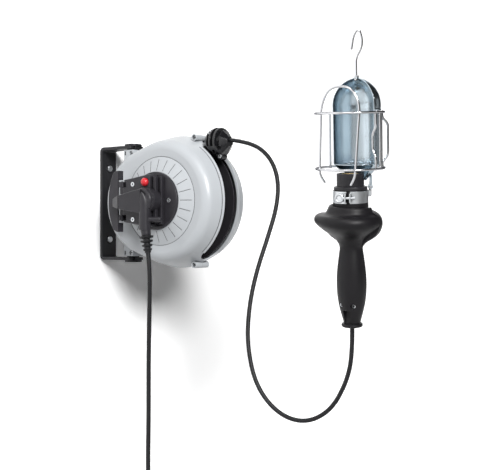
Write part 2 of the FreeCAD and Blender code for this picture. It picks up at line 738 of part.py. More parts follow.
def spiral_edges(radius_in, step, turns, inset):
    """A spiral in a plane across X, made of half circles about two centres."""
    edges = []
    x = 0
    radius = radius_in + inset
    for half in range(2 * turns):
        centre = 0.0 if half % 2 == 0 else step / 2
        side = 1 if half % 2 == 0 else -1
        a = at(x, centre + side * radius, 0)
        b = at(x, centre, radius * side)
        c = at(x, centre - side * radius, 0)
        edges.append(Part.Arc(a, b, c).toShape())
        radius += step / 2
    return edges, c


def make_power_spring():
    """Flat steel strip between the arbor and the cup's wall."""
    inner_r = ARBOR_R + PLAY
    room = SPRING_CUP_R - 3 - inner_r - SPRING_STRIP - 2 * PLAY
    step = room / SPRING_TURNS
    low, low_end = spiral_edges(inner_r, step, SPRING_TURNS, 0)
    high, high_end = spiral_edges(inner_r, step, SPRING_TURNS, SPRING_STRIP)
    start = Part.LineSegment(at(0, inner_r, 0), at(0, inner_r + SPRING_STRIP, 0)).toShape()
    end = Part.LineSegment(low_end, high_end).toShape()
    face = Part.Face(Part.Wire(Part.__sortEdges__(low + high + [start, end])))
    face.translate(X_AXIS * (DRUM_SIDE + 1.0))
    export(face.extrude(X_AXIS * (SPRING_DEPTH - 2.0)), "power_spring")


def make_spring_side():
    arbor = tube(ARBOR_R, SHAFT_R, at(DRUM_SIDE + PLAY, 0, 0), at(DRUM_SIDE + SPRING_DEPTH - 1, 0, 0))
    export(arbor, "spring_arbor")
    cover_x = DRUM_SIDE + SPRING_DEPTH
    cover = tube(SPRING_CUP_R, SHAFT_BOSS_R + PLAY, at(cover_x, 0, 0), at(cover_x + 1.5, 0, 0))
    export(cover, "spring_cover")


def make_slip_rings():
    length = SLIP_RINGS * SLIP_RING_PITCH + 2
    hub = tube(RING_HUB_R, SHAFT_R + PLAY, at(-DRUM_SIDE, 0, 0), at(-DRUM_SIDE - length, 0, 0))
    export(hub, "slip_ring_hub")
    rings = []
    brushes = []
    for step in range(SLIP_RINGS):
        x = -DRUM_SIDE - 2 - step * SLIP_RING_PITCH
        rings.append(tube(SLIP_RING_R, RING_HUB_R, at(x, 0, 0), at(x - SLIP_RING_WIDTH, 0, 0)))
        brushes.append(block(x - SLIP_RING_WIDTH + 0.4, x - 0.4, -2, 2, SLIP_RING_R + 0.1, SLIP_RING_R + 14))
    export(group(rings), "slip_rings")
    export(group(brushes), "carbon_brushes")
    holder = block(-SIDE_X + SHELL_WALL, -DRUM_SIDE - 1, -6, 6, SLIP_RING_R + 4, SLIP_RING_R + 22)
    export(holder.cut(group(brushes)), "brush_holder")


def make_ratchet():
    x0 = -DRUM_SIDE
    x1 = x0 - RATCHET_THICK
    ring = tube(RATCHET_R, RATCHET_R - 12, at(x0, 0, 0), at(x1, 0, 0))
    for step in range(RATCHET_TEETH):
        r0 = RATCHET_R - RATCHET_DEPTH
        notch = Part.Face(Part.makePolygon([
            polar(x1 - 1, r0, -4), polar(x1 - 1, RATCHET_R + 2, -4), polar(x1 - 1, RATCHET_R + 2, 14),
            polar(x1 - 1, r0, 3), polar(x1 - 1, r0, -4)])).extrude(X_AXIS * (RATCHET_THICK + 2))
        notch.rotate(at(0, 0, 0), X_AXIS, -(RATCHET_PHASE + 360.0 * step / RATCHET_TEETH))
        ring = ring.cut(notch)
    export(ring, "ratchet_ring")
    pivot_f = 6.0
    pivot_z = -(RATCHET_R + 14)
    arm = [(pivot_f - 5, pivot_z - 4), (pivot_f + 5, pivot_z - 4), (pivot_f + 5, pivot_z + 5),
           (-14, -(RATCHET_R + 4)), (-19.5, -(RATCHET_R - 0.4)), (-22, -(RATCHET_R + 6)), (-5, -(RATCHET_R + 14))]
    points = [at(x1, f, z) for f, z in arm]
    pawl = Part.Face(Part.makePolygon(points + [points[0]])).extrude(X_AXIS * RATCHET_THICK)
    pawl = pawl.cut(rod(2 + RUN_FIT, at(x1 - 1, pivot_f, pivot_z), at(x0 + 1, pivot_f, pivot_z)))
    export(pawl, "ratchet_pawl")
    pin = rod(2, at(-(SHELL_HALF - SHELL_WALL), pivot_f, pivot_z), at(x0 - 0.4, pivot_f, pivot_z))
    collar = rod(4, at(-(SHELL_HALF - SHELL_WALL), pivot_f, pivot_z), at(x1 - 0.3, pivot_f, pivot_z))
    export(fuse([pin, collar]), "pawl_pin")


# Cable outlet and ball stop


def cord_line(forward):
    """The height of the cord's axis as it runs out through the ball."""
    return BALL_UP + 1.3 + (forward - BALL_FORWARD) * math.tan(math.radians(CORD_RISE))


def make_outlet():
    """A guide in the notch above the winding, with tabs over the drum flanges and a roller under the cord."""
    half = DRUM_HALF - PLAY
    tab = DRUM_SIDE + OUTLET_TAB
    body = sector(-half, half, WINDING_R + CORD_R + 0.7, FLANGE_R + 3.7, OUTLET_LOW, OUTLET_HIGH)
    tabs = sector(-tab, tab, FLANGE_R + 0.7, FLANGE_R + 2.4, OUTLET_LOW, OUTLET_HIGH)
    outlet = fuse([body, tabs])
    groove = CORD_R + PLAY
    f = ROLLER_FORWARD
    outlet = outlet.cut(rod(groove, at(0, f - 25, cord_line(f - 25)), at(0, f + 25, cord_line(f + 25))))
    outlet = outlet.cut(block(-groove, groove, f - 25, f + 25, cord_line(f), SHELL_R + 10))
    roller_z = cord_line(f) - CORD_R - ROLLER_R - 0.2
    outlet = outlet.cut(block(-ROLLER_HALF - PLAY, ROLLER_HALF + PLAY, f - ROLLER_R - PLAY, f + ROLLER_R + PLAY,
                              roller_z - ROLLER_R - PLAY, SHELL_R))
    outlet = outlet.cut(rod(1.5, at(-14, f, roller_z), at(14, f, roller_z)))
    export(outlet, "cable_outlet")
    roller = tube(ROLLER_R, 1.5 + RUN_FIT, at(-ROLLER_HALF, f, roller_z), at(ROLLER_HALF, f, roller_z))
    export(roller, "outlet_roller")
    export(rod(1.5, at(-14, f, roller_z), at(14, f, roller_z)), "roller_pin")
    end = BALL_FORWARD + 22
    export(rod(CORD_R, at(0, 10, cord_line(10)), at(0, end, cord_line(end))), "cord_lead")


def ball_places(offsets):
    return [(BALL_FORWARD + forward, BALL_UP + up) for forward, up in offsets]


def ball_body():
    centre = at(0, BALL_FORWARD, BALL_UP)
    ball = Part.makeSphere(BALL_R, centre)
    for step in range(BALL_GROOVES):
        f = BALL_GROOVE_START + step * BALL_GROOVE_PITCH
        local = math.sqrt(BALL_R ** 2 - (abs(f) + 3) ** 2)
        a = centre + Vector(0, -f, 0)
        b = centre + Vector(0, -f - BALL_GROOVE_WIDTH, 0)
        groove = tube(BALL_R + 1, local - 6.0, a, b)
        ball = ball.cut(groove.common(block(-40, 40, 0, 200, BALL_UP - 8, 200)))
    for step in range(8):
        facet = box(-60, 60, -100, -21.4, -60, 60)
        facet.rotate(Vector(0, 0, 0), X_AXIS, 42)
        facet.rotate(Vector(0, 0, 0), Y_AXIS, 45.0 * step)
        facet.translate(centre)
        ball = ball.cut(facet)
    ball = ball.cut(box(-60, 60, REEL_Y - BALL_FORWARD - 60, REEL_Y - BALL_FORWARD - 22, 0, 200))
    forward, up = ball_places(BALL_SCREWS)[0]
    half = BALL_TONGUE
    tongue = [rod(5.6, at(-half, forward, up), at(half, forward, up)),
              block(-half, half, forward - 4.9, forward + 4.9, up + 1, up + 12)]
    ball = fuse([ball] + tongue)
    behind = BALL_FORWARD - BALL_R - 5
    ahead = BALL_FORWARD + BALL_R + 5
    ball = ball.cut(rod(CORD_R, at(0, behind, cord_line(behind)), at(0, ahead, cord_line(ahead))))
    for forward, up in ball_places(BALL_WINDOWS):
        for side in (-1, 1):
            x0, x1 = sorted((side * 12.5, side * 30))
            ball = ball.cut(block(x0, x1, forward - 2.5, forward + 2.5, up - 2.5, up + 2.5))
    return ball


def make_ball():
    near = ball_body().common(box(-60, -0.1, -400, 0, 0, 200))
    far = mirror_x(near)
    places = ball_places(BALL_SCREWS)
    heads = (-BALL_TONGUE - 0.4, -12.0)
    for (forward, up), head in zip(places, heads):
        far = far.cut(rod(1.6, at(-1, forward, up), at(10, forward, up)))
        near = near.cut(rod(1.6, at(-30, forward, up), at(1, forward, up)))
        near = near.cut(rod(SCREW_HEAD_R + SEAT_GAP, at(-30, forward, up), at(head + SCREW_HEAD_THICK, forward, up)))
    export(near, "ball_stop_near")
    export(far, "ball_stop_far")
    screws = []
    for (forward, up), head in zip(places, heads):
        screws.append(cap_screw(SCREW_HEAD_R, SCREW_HEAD_THICK, 1.6, at(head, forward, up), at(5.8, forward, up)))
    export(group(screws), "ball_screws")


# Hub cover, breaker, inlet and lid


def hub_screw_places():
    return ((30.4, 0.0), (-29.0, 26.5), (-29.0, -30.2))


def hub_block(x0, x1, front, front_half, rear, rear_half):
    """A block that narrows towards the rear."""
    points = [at(x0, front, front_half), at(x0, rear, rear_half), at(x0, rear, -rear_half), at(x0, front, -front_half)]
    return Part.Face(Part.makePolygon(points + [points[0]])).extrude(X_AXIS * (x1 - x0))


def make_hub_cover():
    face = HUB_FACE
    top = HUB_TOP
    wall = HUB_WALL
    disc = rod(HUB_R, at(-SIDE_X, 0, 0), at(face, 0, 0))
    disc = disc.makeFillet(1.5, [e for e in disc.Edges if e.BoundBox.XMax < face + 0.1])
    base = hub_block(face, -SHELL_HALF, 2.0, HUB_R - 0.3, HUB_REAR, HUB_REAR_HALF)
    base = base.makeFillet(1.5, [e for e in base.Edges if e.BoundBox.XMax < face + 0.1])
    base = base.cut(cone(RING_R + SEAT_GAP, SIDE_FLAT_R + SEAT_GAP, at(-SHELL_HALF, 0, 0), at(-SIDE_X, 0, 0)))
    raised = hub_block(top, face + 1, BLOCK_FRONT, BLOCK_FRONT_HALF, BLOCK_REAR, BLOCK_REAR_HALF)
    raised = raised.makeFillet(4.0, [e for e in raised.Edges if e.BoundBox.XLength > 1])
    raised = raised.makeFillet(2.0, [e for e in raised.Edges if e.BoundBox.XMax < top + 0.1])
    collar = rod(INLET_COLLAR_R, at(face + 1, INLET_FORWARD, 0), at(top - INLET_COLLAR, INLET_FORWARD, 0))
    fins = []
    for x0, near, far in ((top + 6, 1.5, 7.0), (top + 13, 9.5, 13.5)):
        fins.append(block(x0, face + 1, BLOCK_FRONT + near, BLOCK_FRONT + far, -BLOCK_FRONT_HALF + 4, BLOCK_FRONT_HALF - 4))
    cover = fuse([disc, base, raised, collar] + fins)
    hollow = fuse([rod(HUB_R - wall, at(-SIDE_X + 1, 0, 0), at(face + wall, 0, 0)),
                   hub_block(top + wall, -SHELL_HALF + 1, BLOCK_FRONT - wall, BLOCK_FRONT_HALF - wall,
                             BLOCK_REAR + wall, BLOCK_REAR_HALF - wall)])
    cover = cover.cut(hollow)
    cover = fuse([cover, rod(INLET_COLLAR_R, at(-SIDE_X, INLET_FORWARD, 0), at(top, INLET_FORWARD, 0))])
    cover = cover.cut(rod(INLET_R, at(top - 10, INLET_FORWARD, 0), at(top + 14, INLET_FORWARD, 0)))
    cover = cover.cut(rod(INLET_R - 3, at(top, INLET_FORWARD, 0), at(-SIDE_X + 1, INLET_FORWARD, 0)))
    cover = cover.cut(rod(BUTTON_R + SEAT_GAP, at(top - 1, BUTTON_FORWARD, BUTTON_UP), at(top + 5, BUTTON_FORWARD, BUTTON_UP)))
    cover = cover.cut(rod(BUTTON_R + 1.0 + SEAT_GAP, at(top + wall, BUTTON_FORWARD, BUTTON_UP),
                          at(top + wall + 6, BUTTON_FORWARD, BUTTON_UP)))
    for side in (-1, 1):
        z0, z1 = sorted((side * (LID_ARM_UP - 5), side * (LID_ARM_UP + 5)))
        cover = cover.cut(block(top - 1, top + 10, BLOCK_REAR - 1, BLOCK_REAR + 7, z0, z1))
        z0, z1 = sorted((side * 12, side * (LID_ARM_UP - 5)))
        ear = block(LID_HINGE_X - 3.5, LID_HINGE_X + 3.5, LID_HINGE_FORWARD, BLOCK_REAR + 1, z0, z1)
        knuckle = rod(3.5, at(LID_HINGE_X, LID_HINGE_FORWARD, z0), at(LID_HINGE_X, LID_HINGE_FORWARD, z1))
        cover = fuse([cover, ear, knuckle])
        cover = cover.cut(rod(LID_PIN_R, at(LID_HINGE_X, LID_HINGE_FORWARD, z0 - 1), at(LID_HINGE_X, LID_HINGE_FORWARD, z1 + 1)))
    for forward, up in hub_screw_places():
        deep = face if forward > 0 else top
        boss = rod(5, at(deep + wall - 1, forward, up), at(-SIDE_X, forward, up))
        cover = fuse([cover, boss])
        cover = cover.cut(rod(1.5, at(deep - 1, forward, up), at(-SIDE_X + 1, forward, up)))
        cover = cover.cut(rod(HUB_SCREW_R + SEAT_GAP, at(deep - 1, forward, up), at(deep + 2, forward, up)))
    export(cover, "hub_cover")


def make_hub_screws():
    screws = []
    for forward, up in hub_screw_places():
        deep = HUB_FACE if forward > 0 else HUB_TOP
        screws.append(cap_screw(HUB_SCREW_R, 2.4, 1.5, at(deep - 0.4, forward, up), at(-SIDE_X + SHELL_WALL, forward, up)))
    export(group(screws), "hub_screws")


def make_button():
    top = HUB_TOP
    f = BUTTON_FORWARD
    z = BUTTON_UP
    base = at(top + 1, f, z)
    neck = at(top - BUTTON_PROUD + 4, f, z)
    button = rod(BUTTON_R, base, neck)
    dome_r = (BUTTON_R ** 2 + 4.0 ** 2) / 8.0
    dome = Part.makeSphere(dome_r, neck + Vector(dome_r - 4.0, 0, 0)).common(rod(BUTTON_R, neck, neck - Vector(10, 0, 0)))
    skirt = rod(BUTTON_R + 1.0, at(top + HUB_WALL + 0.1, f, z), at(top + HUB_WALL + 1.6, f, z))
    stem = rod(2, base, at(top + 6, f, z))
    throat = rod(BUTTON_R - 0.5, base, at(top + HUB_WALL + 1, f, z))
    export(fuse([button, dome, skirt, stem, throat]), "reset_button")
    breaker = block(top + 7, -SIDE_X - 1, f - 8, f + 5, z - 5, z + 5)
    breaker = breaker.cut(rod(2.3, at(top, f, z), at(top + 12, f, z)))
    export(breaker, "thermal_breaker")


def make_inlet():
    top = HUB_TOP
    insert = rod(INLET_R - 3.1, at(top + 8, INLET_FORWARD, 0), at(-SIDE_X - 0.5, INLET_FORWARD, 0))
    flange = rod(INLET_R - 0.1, at(top + 8, INLET_FORWARD, 0), at(top + 13.9, INLET_FORWARD, 0))
    pins = []
    for angle in (90, 210, 330):
        a = math.radians(angle)
        f = INLET_FORWARD + 8 * math.cos(a)
        z = 8 * math.sin(a)
        pins.append(rod(2, at(top - 2, f, z), at(-SIDE_X - 2, f, z)))
    export(fuse([insert, flange]).cut(group(pins)), "inlet_insert")
    export(group(pins), "inlet_pins")


def make_lid():
    """A half-round cap, folded back flat behind the hub."""
    outer_x = LID_HINGE_X - 6.0
    rear = LID_REAR
    chord = rear + LID_LENGTH
    h = LID_HALF_HEIGHT
    p = [at(outer_x, chord, h), at(outer_x, rear + 12.5, h), at(outer_x, rear, 0), at(outer_x, rear + 12.5, -h),
         at(outer_x, chord, -h)]
    edges = [Part.LineSegment(p[0], p[1]).toShape(), Part.Arc(p[1], p[2], p[3]).toShape(),
             Part.LineSegment(p[3], p[4]).toShape(), Part.LineSegment(p[4], p[0]).toShape()]
    lid = Part.Face(Part.Wire(edges)).extrude(X_AXIS * LID_DEPTH)
    corners = [e for e in lid.Edges if e.BoundBox.XLength > 1 and e.BoundBox.YMin > REEL_Y - rear - 15]
    lid = lid.makeFillet(12.0, corners)
    rim = [e for e in lid.Edges if e.BoundBox.XMax < outer_x + 0.1 and e.BoundBox.YMax > REEL_Y - chord + 0.1]
    lid = lid.makeFillet(1.5, rim)
    pocket = block(outer_x + 3, outer_x + LID_DEPTH + 1, rear + 8, chord + 1, -h + 15, h - 15)
    lid = lid.cut(pocket)
    for side in (-1, 1):
        z0, z1 = sorted((side * (LID_ARM_UP - LID_ARM_HALF), side * (LID_ARM_UP + LID_ARM_HALF)))
        arm = block(outer_x + 1, LID_HINGE_X + 3, LID_HINGE_FORWARD - 22, LID_HINGE_FORWARD, z0, z1)
        knuckle = rod(4, at(LID_HINGE_X, LID_HINGE_FORWARD, z0), at(LID_HINGE_X, LID_HINGE_FORWARD, z1))
        lid = fuse([lid, arm, knuckle])
        bore = rod(LID_PIN_R + RUN_FIT, at(LID_HINGE_X, LID_HINGE_FORWARD, z0 - 1), at(LID_HINGE_X, LID_HINGE_FORWARD, z1 + 1))
        lid = lid.cut(bore)
    export(lid, "inlet_lid")
    reach = LID_ARM_UP + LID_ARM_HALF + 1
    export(rod(LID_PIN_R, at(LID_HINGE_X, LID_HINGE_FORWARD, -reach), at(LID_HINGE_X, LID_HINGE_FORWARD, reach)), "lid_pin")


# Angled connector and supply lead


def make_connector():
    """Round barrel on the inlet, a flat pointed grip to the rear and a round cable channel that points down."""
    back = PLUG_X - PLUG_BARREL
    f0 = INLET_FORWARD
    nose = rod(INLET_R - SEAT_GAP, at(PLUG_X + 9, f0, 0), at(PLUG_X, f0, 0))
    flange = rod(PLUG_BARREL_R + 0.9, at(PLUG_X, f0, 0), at(PLUG_X - 3.0, f0, 0))
    barrel = rod(PLUG_BARREL_R, at(PLUG_X, f0, 0), at(back, f0, 0))
    barrel = barrel.makeFillet(4.0, [e for e in barrel.Edges if e.BoundBox.XMax < back + 0.1])
    grip_x0 = PLUG_X - 3.5
    face = grip_x0 - PLUG_GRIP_THICK
    tip = PLUG_GRIP_TIP
    crease = PLUG_CREASE
    p = [at(face, f0 + 1, 17.5), at(face, -20, 14.3), at(face, crease, 8.3), at(face, tip, 3.2), at(face, tip, -8.6),
         at(face, crease, -13.0), at(face, -20, -17.6), at(face, f0 + 1, -19.6)]
    edges = [Part.Arc(p[0], p[1], p[2]).toShape(), Part.LineSegment(p[2], p[3]).toShape(),
             Part.LineSegment(p[3], p[4]).toShape(), Part.LineSegment(p[4], p[5]).toShape(),
             Part.Arc(p[5], p[6], p[7]).toShape(), Part.LineSegment(p[7], p[0]).toShape()]
    grip = Part.Face(Part.Wire(edges)).extrude(X_AXIS * PLUG_GRIP_THICK)
    slope = Part.Face(Part.makePolygon([
        at(face, crease, -30), at(grip_x0 - 1.5, tip, -30), at(grip_x0 - 1.5, tip - 3, -30), at(face - 5, tip - 3, -30),
        at(face - 5, crease, -30), at(face, crease, -30)])).extrude(Z_AXIS * 60)
    line = block(face - 1, face + 1.8, crease - 0.8, crease + 0.8, -30, 30)
    grip = grip.cut(slope).cut(line)
    grip = grip.makeFillet(1.5, [e for e in grip.Edges if e.BoundBox.XMax < face + 0.1 and e.BoundBox.YLength > 20])
    front = CHANNEL_X - CHANNEL_R
    f = CHANNEL_FORWARD
    channel = rod(CHANNEL_R, at(CHANNEL_X, f, -7), at(CHANNEL_X, f, -47))
    circles = []
    for radius, up in ((CHANNEL_R, -7), (CHANNEL_R * 0.96, -3), (CHANNEL_R * 0.76, 3.5), (CHANNEL_R * 0.44, 9), (0.8, 12.6)):
        circles.append(Part.Wire(Part.makeCircle(radius, at(front + radius, f, up), Z_AXIS)))
    apex = Part.makeLoft(circles, True, False)
    ear_end = at(PLUG_X + 5, f + 21.5, -30.5)
    ear = rod(4.3, at(CHANNEL_X, f + 4, -30.5), ear_end)
    web = block(CHANNEL_X - 2, grip_x0 + 3, f - 6, f + 6, -30, -8)
    body = fuse([flange, barrel, grip, channel, apex, web])
    body = body.cut(block(PLUG_X, PLUG_X + 20, -80, 40, -60, 40))
    neck = cone(8.2, 7.4, boot_point(-11), boot_point(0))
    body = fuse([body, nose, ear, Part.makeSphere(4.3, ear_end), neck])
    body = body.cut(rod(4.0, at(CHANNEL_X, f, 0), at(CHANNEL_X, f, -50)))
    sockets = []
    cuts = []
    for angle in (90, 210, 330):
        a = math.radians(angle)
        f = f0 + 8 * math.cos(a)
        z = 8 * math.sin(a)
        cuts.append(rod(3.2, at(PLUG_X + 10, f, z), at(PLUG_X - 8, f, z)))
        sockets.append(tube(3.2, 2.0 + RUN_FIT, at(PLUG_X + 8, f, z), at(PLUG_X - 8, f, z)))
    export(body.cut(group(cuts)), "connector_body")
    export(group(sockets), "connector_sockets")


def boot_point(distance):
    """A point along the boot's axis, which leans forward, from the connector's neck."""
    a = math.radians(BOOT_TILT)
    return at(CHANNEL_X, CHANNEL_FORWARD + 2.5, -55.5) + Vector(0, -math.sin(a), -math.cos(a)) * distance


def make_boot():
    """Ribs as a ruled loft on the boot's axis, four circles for each rib."""
    circles = []
    axis = boot_point(1) - boot_point(0)
    for rib in range(BOOT_RIBS):
        start = 1.0 + rib * BOOT_PITCH
        wide = 11.4 - rib * 1.4
        core = BOOT_CORE_R - rib * 0.15
        for along, radius in ((0, core), (0.5, wide), (3.4, wide - 0.6), (4.2, core)):
            circles.append(Part.Wire(Part.makeCircle(radius, boot_point(start + along), axis)))
    first = Part.Wire(Part.makeCircle(BOOT_CORE_R, boot_point(0), axis))
    end = boot_point(BOOT_RIBS * BOOT_PITCH + 1.5)
    last = Part.Wire(Part.makeCircle(BOOT_CORE_R - 0.7, end, axis))
    export(Part.makeLoft([first] + circles + [last], True, True), "cable_boot")
    return end


def make_supply(start):
    """From the boot straight down, then the rest as a coil with the mains plug below it."""
    pitch = LEAD_D + 0.9
    down = Vector(pitch / (2 * math.pi), 0, -COIL_R)
    down.normalize()
    lean = boot_point(1) - boot_point(0)
    points = [start, start + lean * 26]
    for drop, sway in ((50, 0.6), (85, -1.5), (95, 1.0), (80, -0.8)):
        points.append(points[-1] + Vector(sway, 0.8, -drop))
    points.append(points[-1] + down * 60)
    export(route_tube(points, LEAD_R, "supply lead"), "supply_lead")
    first = points[-1] + down * LEAD_D
    centre = first + Vector(pitch * COIL_TURNS / 2, COIL_R, 0)
    wire = helix_wire(centre, COIL_R, pitch, COIL_TURNS, 0.0, LEAD_D, COIL_TAIL, -1)
    solid = sweep(wire, LEAD_R)
    print("supply coil length %.0f, gap %.2f" % (wire.Length, least_gap(wire, LEAD_D, 40.0)))
    export(solid, "supply_coil")
    end = first + Vector(pitch * COIL_TURNS, 0, 0) + down * COIL_TAIL
    make_plug(end, down)


def make_plug(start, along):
    """A straight moulded mains plug with two pins."""
    def point(distance):
        return start + along * distance

    circles = []
    for distance, radius in ((0, LEAD_R + 1.6), (14, 6.2), (18, 9.0), (26, 13.5), (40, PLUG_END_R), (46, PLUG_END_R)):
        circles.append(Part.Wire(Part.makeCircle(radius, point(distance), along)))
    body = Part.makeLoft(circles, True, True)
    pins = []
    for side in (-1, 1):
        shift = X_AXIS * (side * PLUG_PIN_SPACING / 2)
        pins.append(rod(PLUG_PIN_R, point(32) + shift, point(46 + PLUG_PIN_LENGTH) + shift))
    export(body.cut(group(pins)), "supply_plug")
    export(group(pins), "supply_plug_pins")


# Work cord, a list of points chosen by hand


WORK_CORD = [(1, -308, 91.5), (-1, -344, 71), (1, -362, 36), (-6, -365, -9), (-23, -358, -60), (-42, -350, -112),
             (-57, -347, -165), (-67, -351, -220), (-70, -369, -278), (-60, -401, -317), (-44, -438, -329),
             (-29, -473, -309), (-24, -497, -263)]


# Hand lamp, upright about its own axis: x to the right, y away, z up


def lamp_place(shape):
    turned = shape.copy()
    turned.rotate(Vector(0, 0, 0), Y_AXIS, LAMP_LEAN)
    turned.rotate(Vector(0, 0, 0), X_AXIS, LAMP_TILT)
    turned.rotate(Vector(0, 0, 0), Z_AXIS, LAMP_TURN)
    turned.translate(Vector(LAMP_X, LAMP_Y, 0))
    return turned


def lamp_point(x, y, z):
    return lamp_place(Part.Vertex(x, y, z)).Point


def ring_wire(radius, x, z, tilt):
    """A circle of the handle's outline, its right side lower by tilt degrees."""
    normal = Rotation(Y_AXIS, tilt).multVec(Z_AXIS)
    return Part.Wire(Part.makeCircle(radius, Vector(x, 0, z), normal))


def handle_solid(collar):
    """Grip, hand guard, neck and foot. The two halves differ in the hand guard."""
    grip = [(11.6, 0, LAMP_BOTTOM + 4, 0), (14.8, 0, -169, 0), (18.0, 0, -156, 0), (20.6, 0, -136, 0),
            (20.8, 0, -116, 0), (18.6, 0, -92, 0), (16.6, 0, -78, 0)]
    grip = Part.makeLoft([ring_wire(*row) for row in grip + collar], True, False)
    neck = rod(NECK_R, Vector(0, 0, -18), Vector(0, 0, BAND_LOW - 0.2))
    spigot = rod(NECK_R - BAND_THICK - 0.3, Vector(0, 0, BAND_LOW - 0.2), Vector(0, 0, BAND_HIGH))
    foot = rod(15, Vector(0, 0, LAMP_BOTTOM), Vector(0, 0, LAMP_BOTTOM + 4.5))
    foot = foot.makeFillet(1.5, foot.Edges)
    handle = fuse([grip, neck, spigot, foot])
    handle = handle.cut(rod(CORD_R + SEAT_GAP, Vector(0, 0, LAMP_BOTTOM - 1), Vector(0, 0, -150)))
    handle = handle.cut(rod(7, Vector(0, 0, -160), Vector(0, 0, -30)))
    return handle.cut(rod(15, Vector(0, 0, -40), Vector(0, 0, BAND_HIGH + 1)))


def make_handle():
    sharp = [(16.3, 0, -72, 0), (18.4, 0, -66, 0.3), (24.0, -0.6, -58.5, 1), (33.0, -1.5, -51.5, 2), (43.5, -3.0, -43, 3.2),
             (47.8, -3.8, -37, 3.5), (47.6, -3.6, -32, 3.2), (43.5, -2.6, -27, 2), (34.0, 0, -22, 0.6), (NECK_R, 0, -18, 0)]
    round_back = [(16.3, 0, -74, 0), (19.0, 0, -68.5, 0), (27.0, 0, -62.5, 0), (37.0, 0, -55.5, 0), (42.0, 0, -48, 0),
                  (43.8, 0, -41, 0), (43.4, 0, -34, 0), (39.2, 0, -26.5, 0), (31.5, 0, -21.5, 0), (NECK_R, 0, -18, 0)]
    ahead = Part.makeBox(200, 100, 400, Vector(-100, -100.1, -250))
    behind = Part.makeBox(200, 100, 400, Vector(-100, 0.1, -250))
    front = handle_solid(sharp).common(ahead)
    back = handle_solid(round_back).common(behind)
    front = front.cut(Part.makeBox(10.5, 20, 20, Vector(-5.5, -29.5, LAMP_BOTTOM + 5)))
    screws = []
    for x in (-9.5, 9.5):
        z = HANDLE_SCREW_UP
        front = front.cut(rod(3.5, Vector(x, -60, z), Vector(x, -9.4, z)))
        front = front.cut(rod(1.6, Vector(x, -60, z), Vector(x, 1, z)))
        back = back.cut(rod(1.6, Vector(x, -1, z), Vector(x, 11, z)))
        screws.append(cap_screw(3.2, 2.5, 1.5, Vector(x, -12, z), Vector(x, 10, z)))
    for shape, name in ((front, "lamp_handle_front"), (back, "lamp_handle_back"), (group(screws), "handle_screws")):
        shape.rotate(Vector(0, 0, 0), Z_AXIS, HANDLE_SEAM)
        export(lamp_place(shape), name)


def make_lampholder():
    sleeve = rod(SLEEVE_R, Vector(0, 0, BAND_HIGH), Vector(0, 0, SLEEVE_TOP))
    sleeve = sleeve.makeFillet(1.0, [e for e in sleeve.Edges if e.BoundBox.ZMin > SLEEVE_TOP - 0.1])
    flange = rod(SLEEVE_FLANGE_R, Vector(0, 0, BAND_HIGH), Vector(0, 0, BAND_HIGH + 5.4))
    flange = flange.makeFillet(1.5, flange.Edges)
    plug = rod(14.8, Vector(0, 0, -12), Vector(0, 0, BAND_HIGH + 1))
    sleeve = fuse([sleeve, flange, plug]).cut(rod(SLEEVE_BORE_R, Vector(0, 0, BAND_HIGH + 4), Vector(0, 0, SLEEVE_TOP + 1)))
    sleeve = sleeve.cut(rod(3, Vector(0, 0, -13), Vector(0, 0, BAND_HIGH + 5)))
    export(lamp_place(sleeve), "lampholder_sleeve")
    base = BAND_HIGH + 4
    lead_in = base + LAMP_THREAD_FOOT
    circles = []
    for step in range(4):
        z = lead_in + step * 4.5
        for along, r in ((0, LAMP_THREAD_R + 1.2), (1.5, LAMP_THREAD_R + 0.5), (3.0, LAMP_THREAD_R + 1.2)):
            circles.append(Part.Wire(Part.makeCircle(r, Vector(0, 0, z + along), Z_AXIS)))
    outer = Part.makeLoft(circles, True, True)
    foot = rod(LAMP_THREAD_R + 1.2, Vector(0, 0, base), Vector(0, 0, lead_in + 0.1))
    shell = fuse([outer, foot]).cut(rod(LAMP_THREAD_R, Vector(0, 0, base - 1), Vector(0, 0, SLEEVE_TOP + 1)))
    shell = shell.cut(rod(LAMP_THREAD_R + 0.6, Vector(0, 0, base - 1), Vector(0, 0, lead_in)))
    contact = rod(4, Vector(0, 0, base), Vector(0, 0, base + 0.9))
    export(lamp_place(group([shell, contact])), "lamp_contacts")


